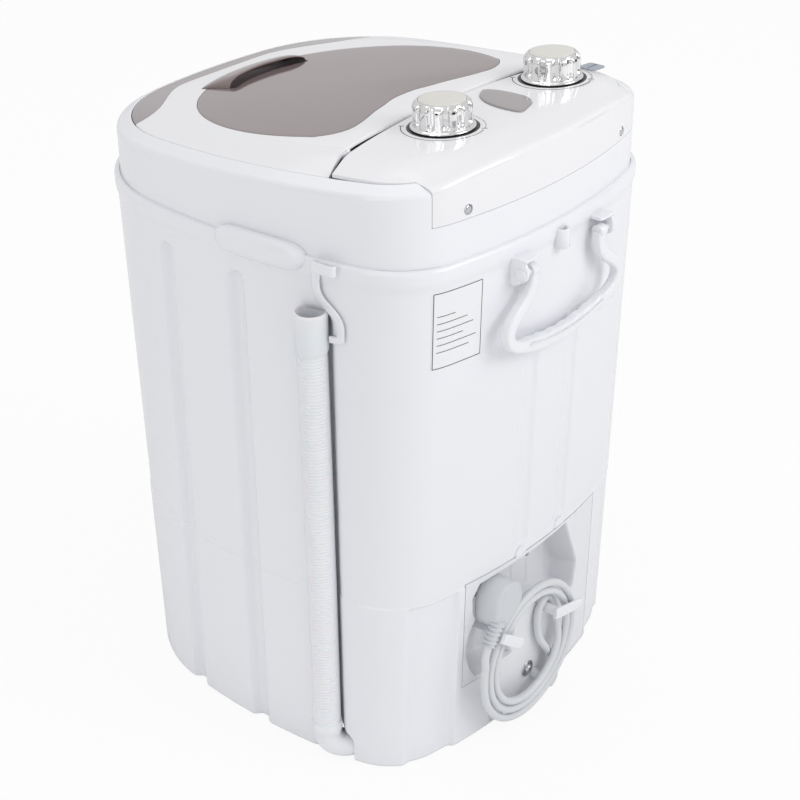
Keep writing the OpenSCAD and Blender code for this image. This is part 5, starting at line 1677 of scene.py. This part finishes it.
class Works:
    """The carried-over parts of the model that need only their finish."""

    FINISHES = {
        "lid_hinge_pins": STEEL, "wash_timer": DARK, "wash_timer_shaft": STEEL, "spin_timer": DARK,
        "spin_timer_shaft": STEEL, "drain_pipe": HOSE_WHITE, "wash_tub": TUB, "pulsator": PULSATOR,
        "spin_basket": TUB, "drive_shaft": STEEL, "drive_housing": CAST, "shaft_seal": RUBBER,
        "shaft_bearings": STEEL, "drive_pulley": CAST, "drive_belt": BELT, "motor_pulley": DARK, "motor": MOTOR,
        "motor_bracket": MOTOR, "run_capacitor": CAN, "base_plate": TUB, "rubber_feet": RUBBER,
    }

    def dress(self, nodes: dict) -> None:
        """Gives each carried-over node its finish.

        Args:
            nodes: the frame's nodes by name.
        """
        for name, finish in self.FINISHES.items():
            node = nodes[name]
            for slot in node.material_slots:
                slot.material = finish.material()
            if not node.material_slots:
                node.data.materials.append(finish.material())


@dataclass
class Studio:
    """The pale floor, the soft light, the black cards and the camera."""

    floor_half: float = 14.0
    card_size: tuple = (0.2, 0.3)
    card_turns: tuple = (-20, 14, 76, 112, 150)
    card_aim: tuple = (-0.02, 0.12, 0.57)
    card_reach: float = 0.9
    side_light: float = 0.76

    def camera(self) -> None:
        """Sets the camera at the photograph's place."""
        data = bpy.data.cameras.new("camera")
        data.lens = 75.31
        data.sensor_width = 36.0
        data.shift_x = 0.0009
        data.shift_y = -0.0654
        data.clip_end = 50.0
        back = Vector((0.6765, 0.5653, 0.4719)).normalized()
        right = Vector((0, 0, 1)).cross(back).normalized()
        up = back.cross(right)
        roll = math.radians(-0.51)
        across = right * math.cos(roll) + up * math.sin(roll)
        above = -right * math.sin(roll) + up * math.cos(roll)
        frame = Matrix((across, above, back)).transposed().to_4x4()
        camera = add_object("camera", data)
        camera.matrix_world = Matrix.Translation(metres((1018.8, 885.3, 1025.8))) @ frame
        bpy.context.scene.camera = camera

    @staticmethod
    def matt(name: str, grey: float, roughness: float, seen: str, share: float) -> bpy.types.Material:
        """A matt surface that the camera sees, wholly or in part, as another shader.

        Args:
            name: the material's name.
            grey: the matt surface's colour.
            roughness: its roughness.
            seen: the node type of the other shader.
            share: how much of the other shader the camera sees.

        Returns:
            The material.
        """
        mat = bpy.data.materials.new(name)
        mat.use_nodes = True
        graph, nodes = Graph(mat.node_tree), mat.node_tree.nodes
        graph.feed(nodes["Principled BSDF"], {"Base Color": (grey, grey, grey, 1), "Roughness": roughness})
        part = graph.calc("MULTIPLY", graph.add("ShaderNodeLightPath").outputs["Is Camera Ray"], share)
        mix = graph.add("ShaderNodeMixShader", {"Fac": part, 1: nodes["Principled BSDF"].outputs[0],
                                                2: graph.add(seen).outputs[0]})
        graph.feed(nodes["Material Output"], {"Surface": mix.outputs[0]})
        return mat

    @staticmethod
    def plane(name: str, half_x: float, half_y: float, material: bpy.types.Material) -> bpy.types.Object:
        """A flat rectangle round the origin.

        Args:
            name: its name.
            half_x: half its width in metres.
            half_y: half its depth in metres.
            material: its material.

        Returns:
            The rectangle.
        """
        mesh = bpy.data.meshes.new(name)
        corners = [(-half_x, -half_y, 0), (half_x, -half_y, 0), (half_x, half_y, 0), (-half_x, half_y, 0)]
        mesh.from_pydata(corners, [], [(0, 1, 2, 3)])
        mesh.materials.append(material)
        return add_object(name, mesh)

    def floor(self) -> None:
        """Makes the floor."""
        pale = self.matt("pale floor", 0.86, 0.9, "ShaderNodeEmission", 0.9)
        floor = self.plane("floor", self.floor_half, self.floor_half, pale)

    def cards(self) -> None:
        """Stands black cards that the camera doesn't see, so that the chrome has something dark to mirror."""
        black = self.matt("black card", 0.01, 1.0, "ShaderNodeBsdfTransparent", 1.0)
        for k, turn in enumerate(self.card_turns):
            way = Vector((math.cos(math.radians(turn)), math.sin(math.radians(turn)), 0.0))
            card = self.plane(f"card_{k}", self.card_size[0] / 2, self.card_size[1] / 2, black)
            place = Vector(self.card_aim) + way * self.card_reach
            card.matrix_world = Matrix.Translation(place) @ way.to_track_quat("Z", "Y").to_matrix().to_4x4()

    def world(self) -> None:
        """Makes the surroundings: white where they are seen, a little darker where they light the machine."""
        world = bpy.data.worlds.new("studio")
        bpy.context.scene.world = world
        world.use_nodes = True
        graph = Graph(world.node_tree)
        path = graph.add("ShaderNodeLightPath").outputs
        seen = graph.calc("MAXIMUM", path["Is Camera Ray"], path["Is Transmission Ray"])
        level = graph.add("ShaderNodeMapRange", {"Value": seen, "To Min": self.side_light, "To Max": 1.0})
        back = world.node_tree.nodes["Background"]
        graph.feed(back, {"Color": (1, 1, 1, 1), "Strength": level.outputs["Result"]})

    def lamp(self, name: str, place: Sequence, aim: Sequence, size: float, power: float) -> None:
        """Adds one soft lamp.

        Args:
            name: its name.
            place: where it is, in metres.
            aim: the point that it faces.
            size: its side in metres.
            power: its power in watts.
        """
        data = bpy.data.lights.new(name, "AREA")
        data.shape = "SQUARE"
        data.size = size
        data.energy = power
        lamp = add_object(name, data)
        lamp.location = place
        lamp.rotation_euler = (Vector(place) - Vector(aim)).to_track_quat("Z", "Y").to_euler()

    def build(self) -> None:
        """Sets up the whole studio."""
        self.camera()
        self.floor()
        self.world()
        self.lamp("key", (-0.9, 2.6, 2.0), (0, 0, 0.3), 1.8, 36)
        self.lamp("fill", (3.0, 0.6, 1.3), (0, 0, 0.3), 2.0, 17)
        self.lamp("top", (0.2, -0.8, 3.2), (0, 0, 0.4), 2.2, 9)
        self.cards()
        bpy.context.scene.view_settings.view_transform = "Standard"


def main() -> None:
    """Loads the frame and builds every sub-assembly."""
    logging.basicConfig(level=logging.INFO, format="%(message)s")
    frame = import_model()
    Studio().build()
    MainsCord().build()
    Casing().build()
    TopRing().build()
    console = Console()
    console.build()
    Lid().build()
    Knob(console.knob_xs[0], Body.WASH, "wash").build(console)
    Knob(console.knob_xs[1], Body.SPIN, "spin").build(console)
    DrainHose().build()
    CarryHandle().build()
    ServiceCover().build()
    Works().dress(frame["nodes"])


if __name__ == "__main__":
    main()
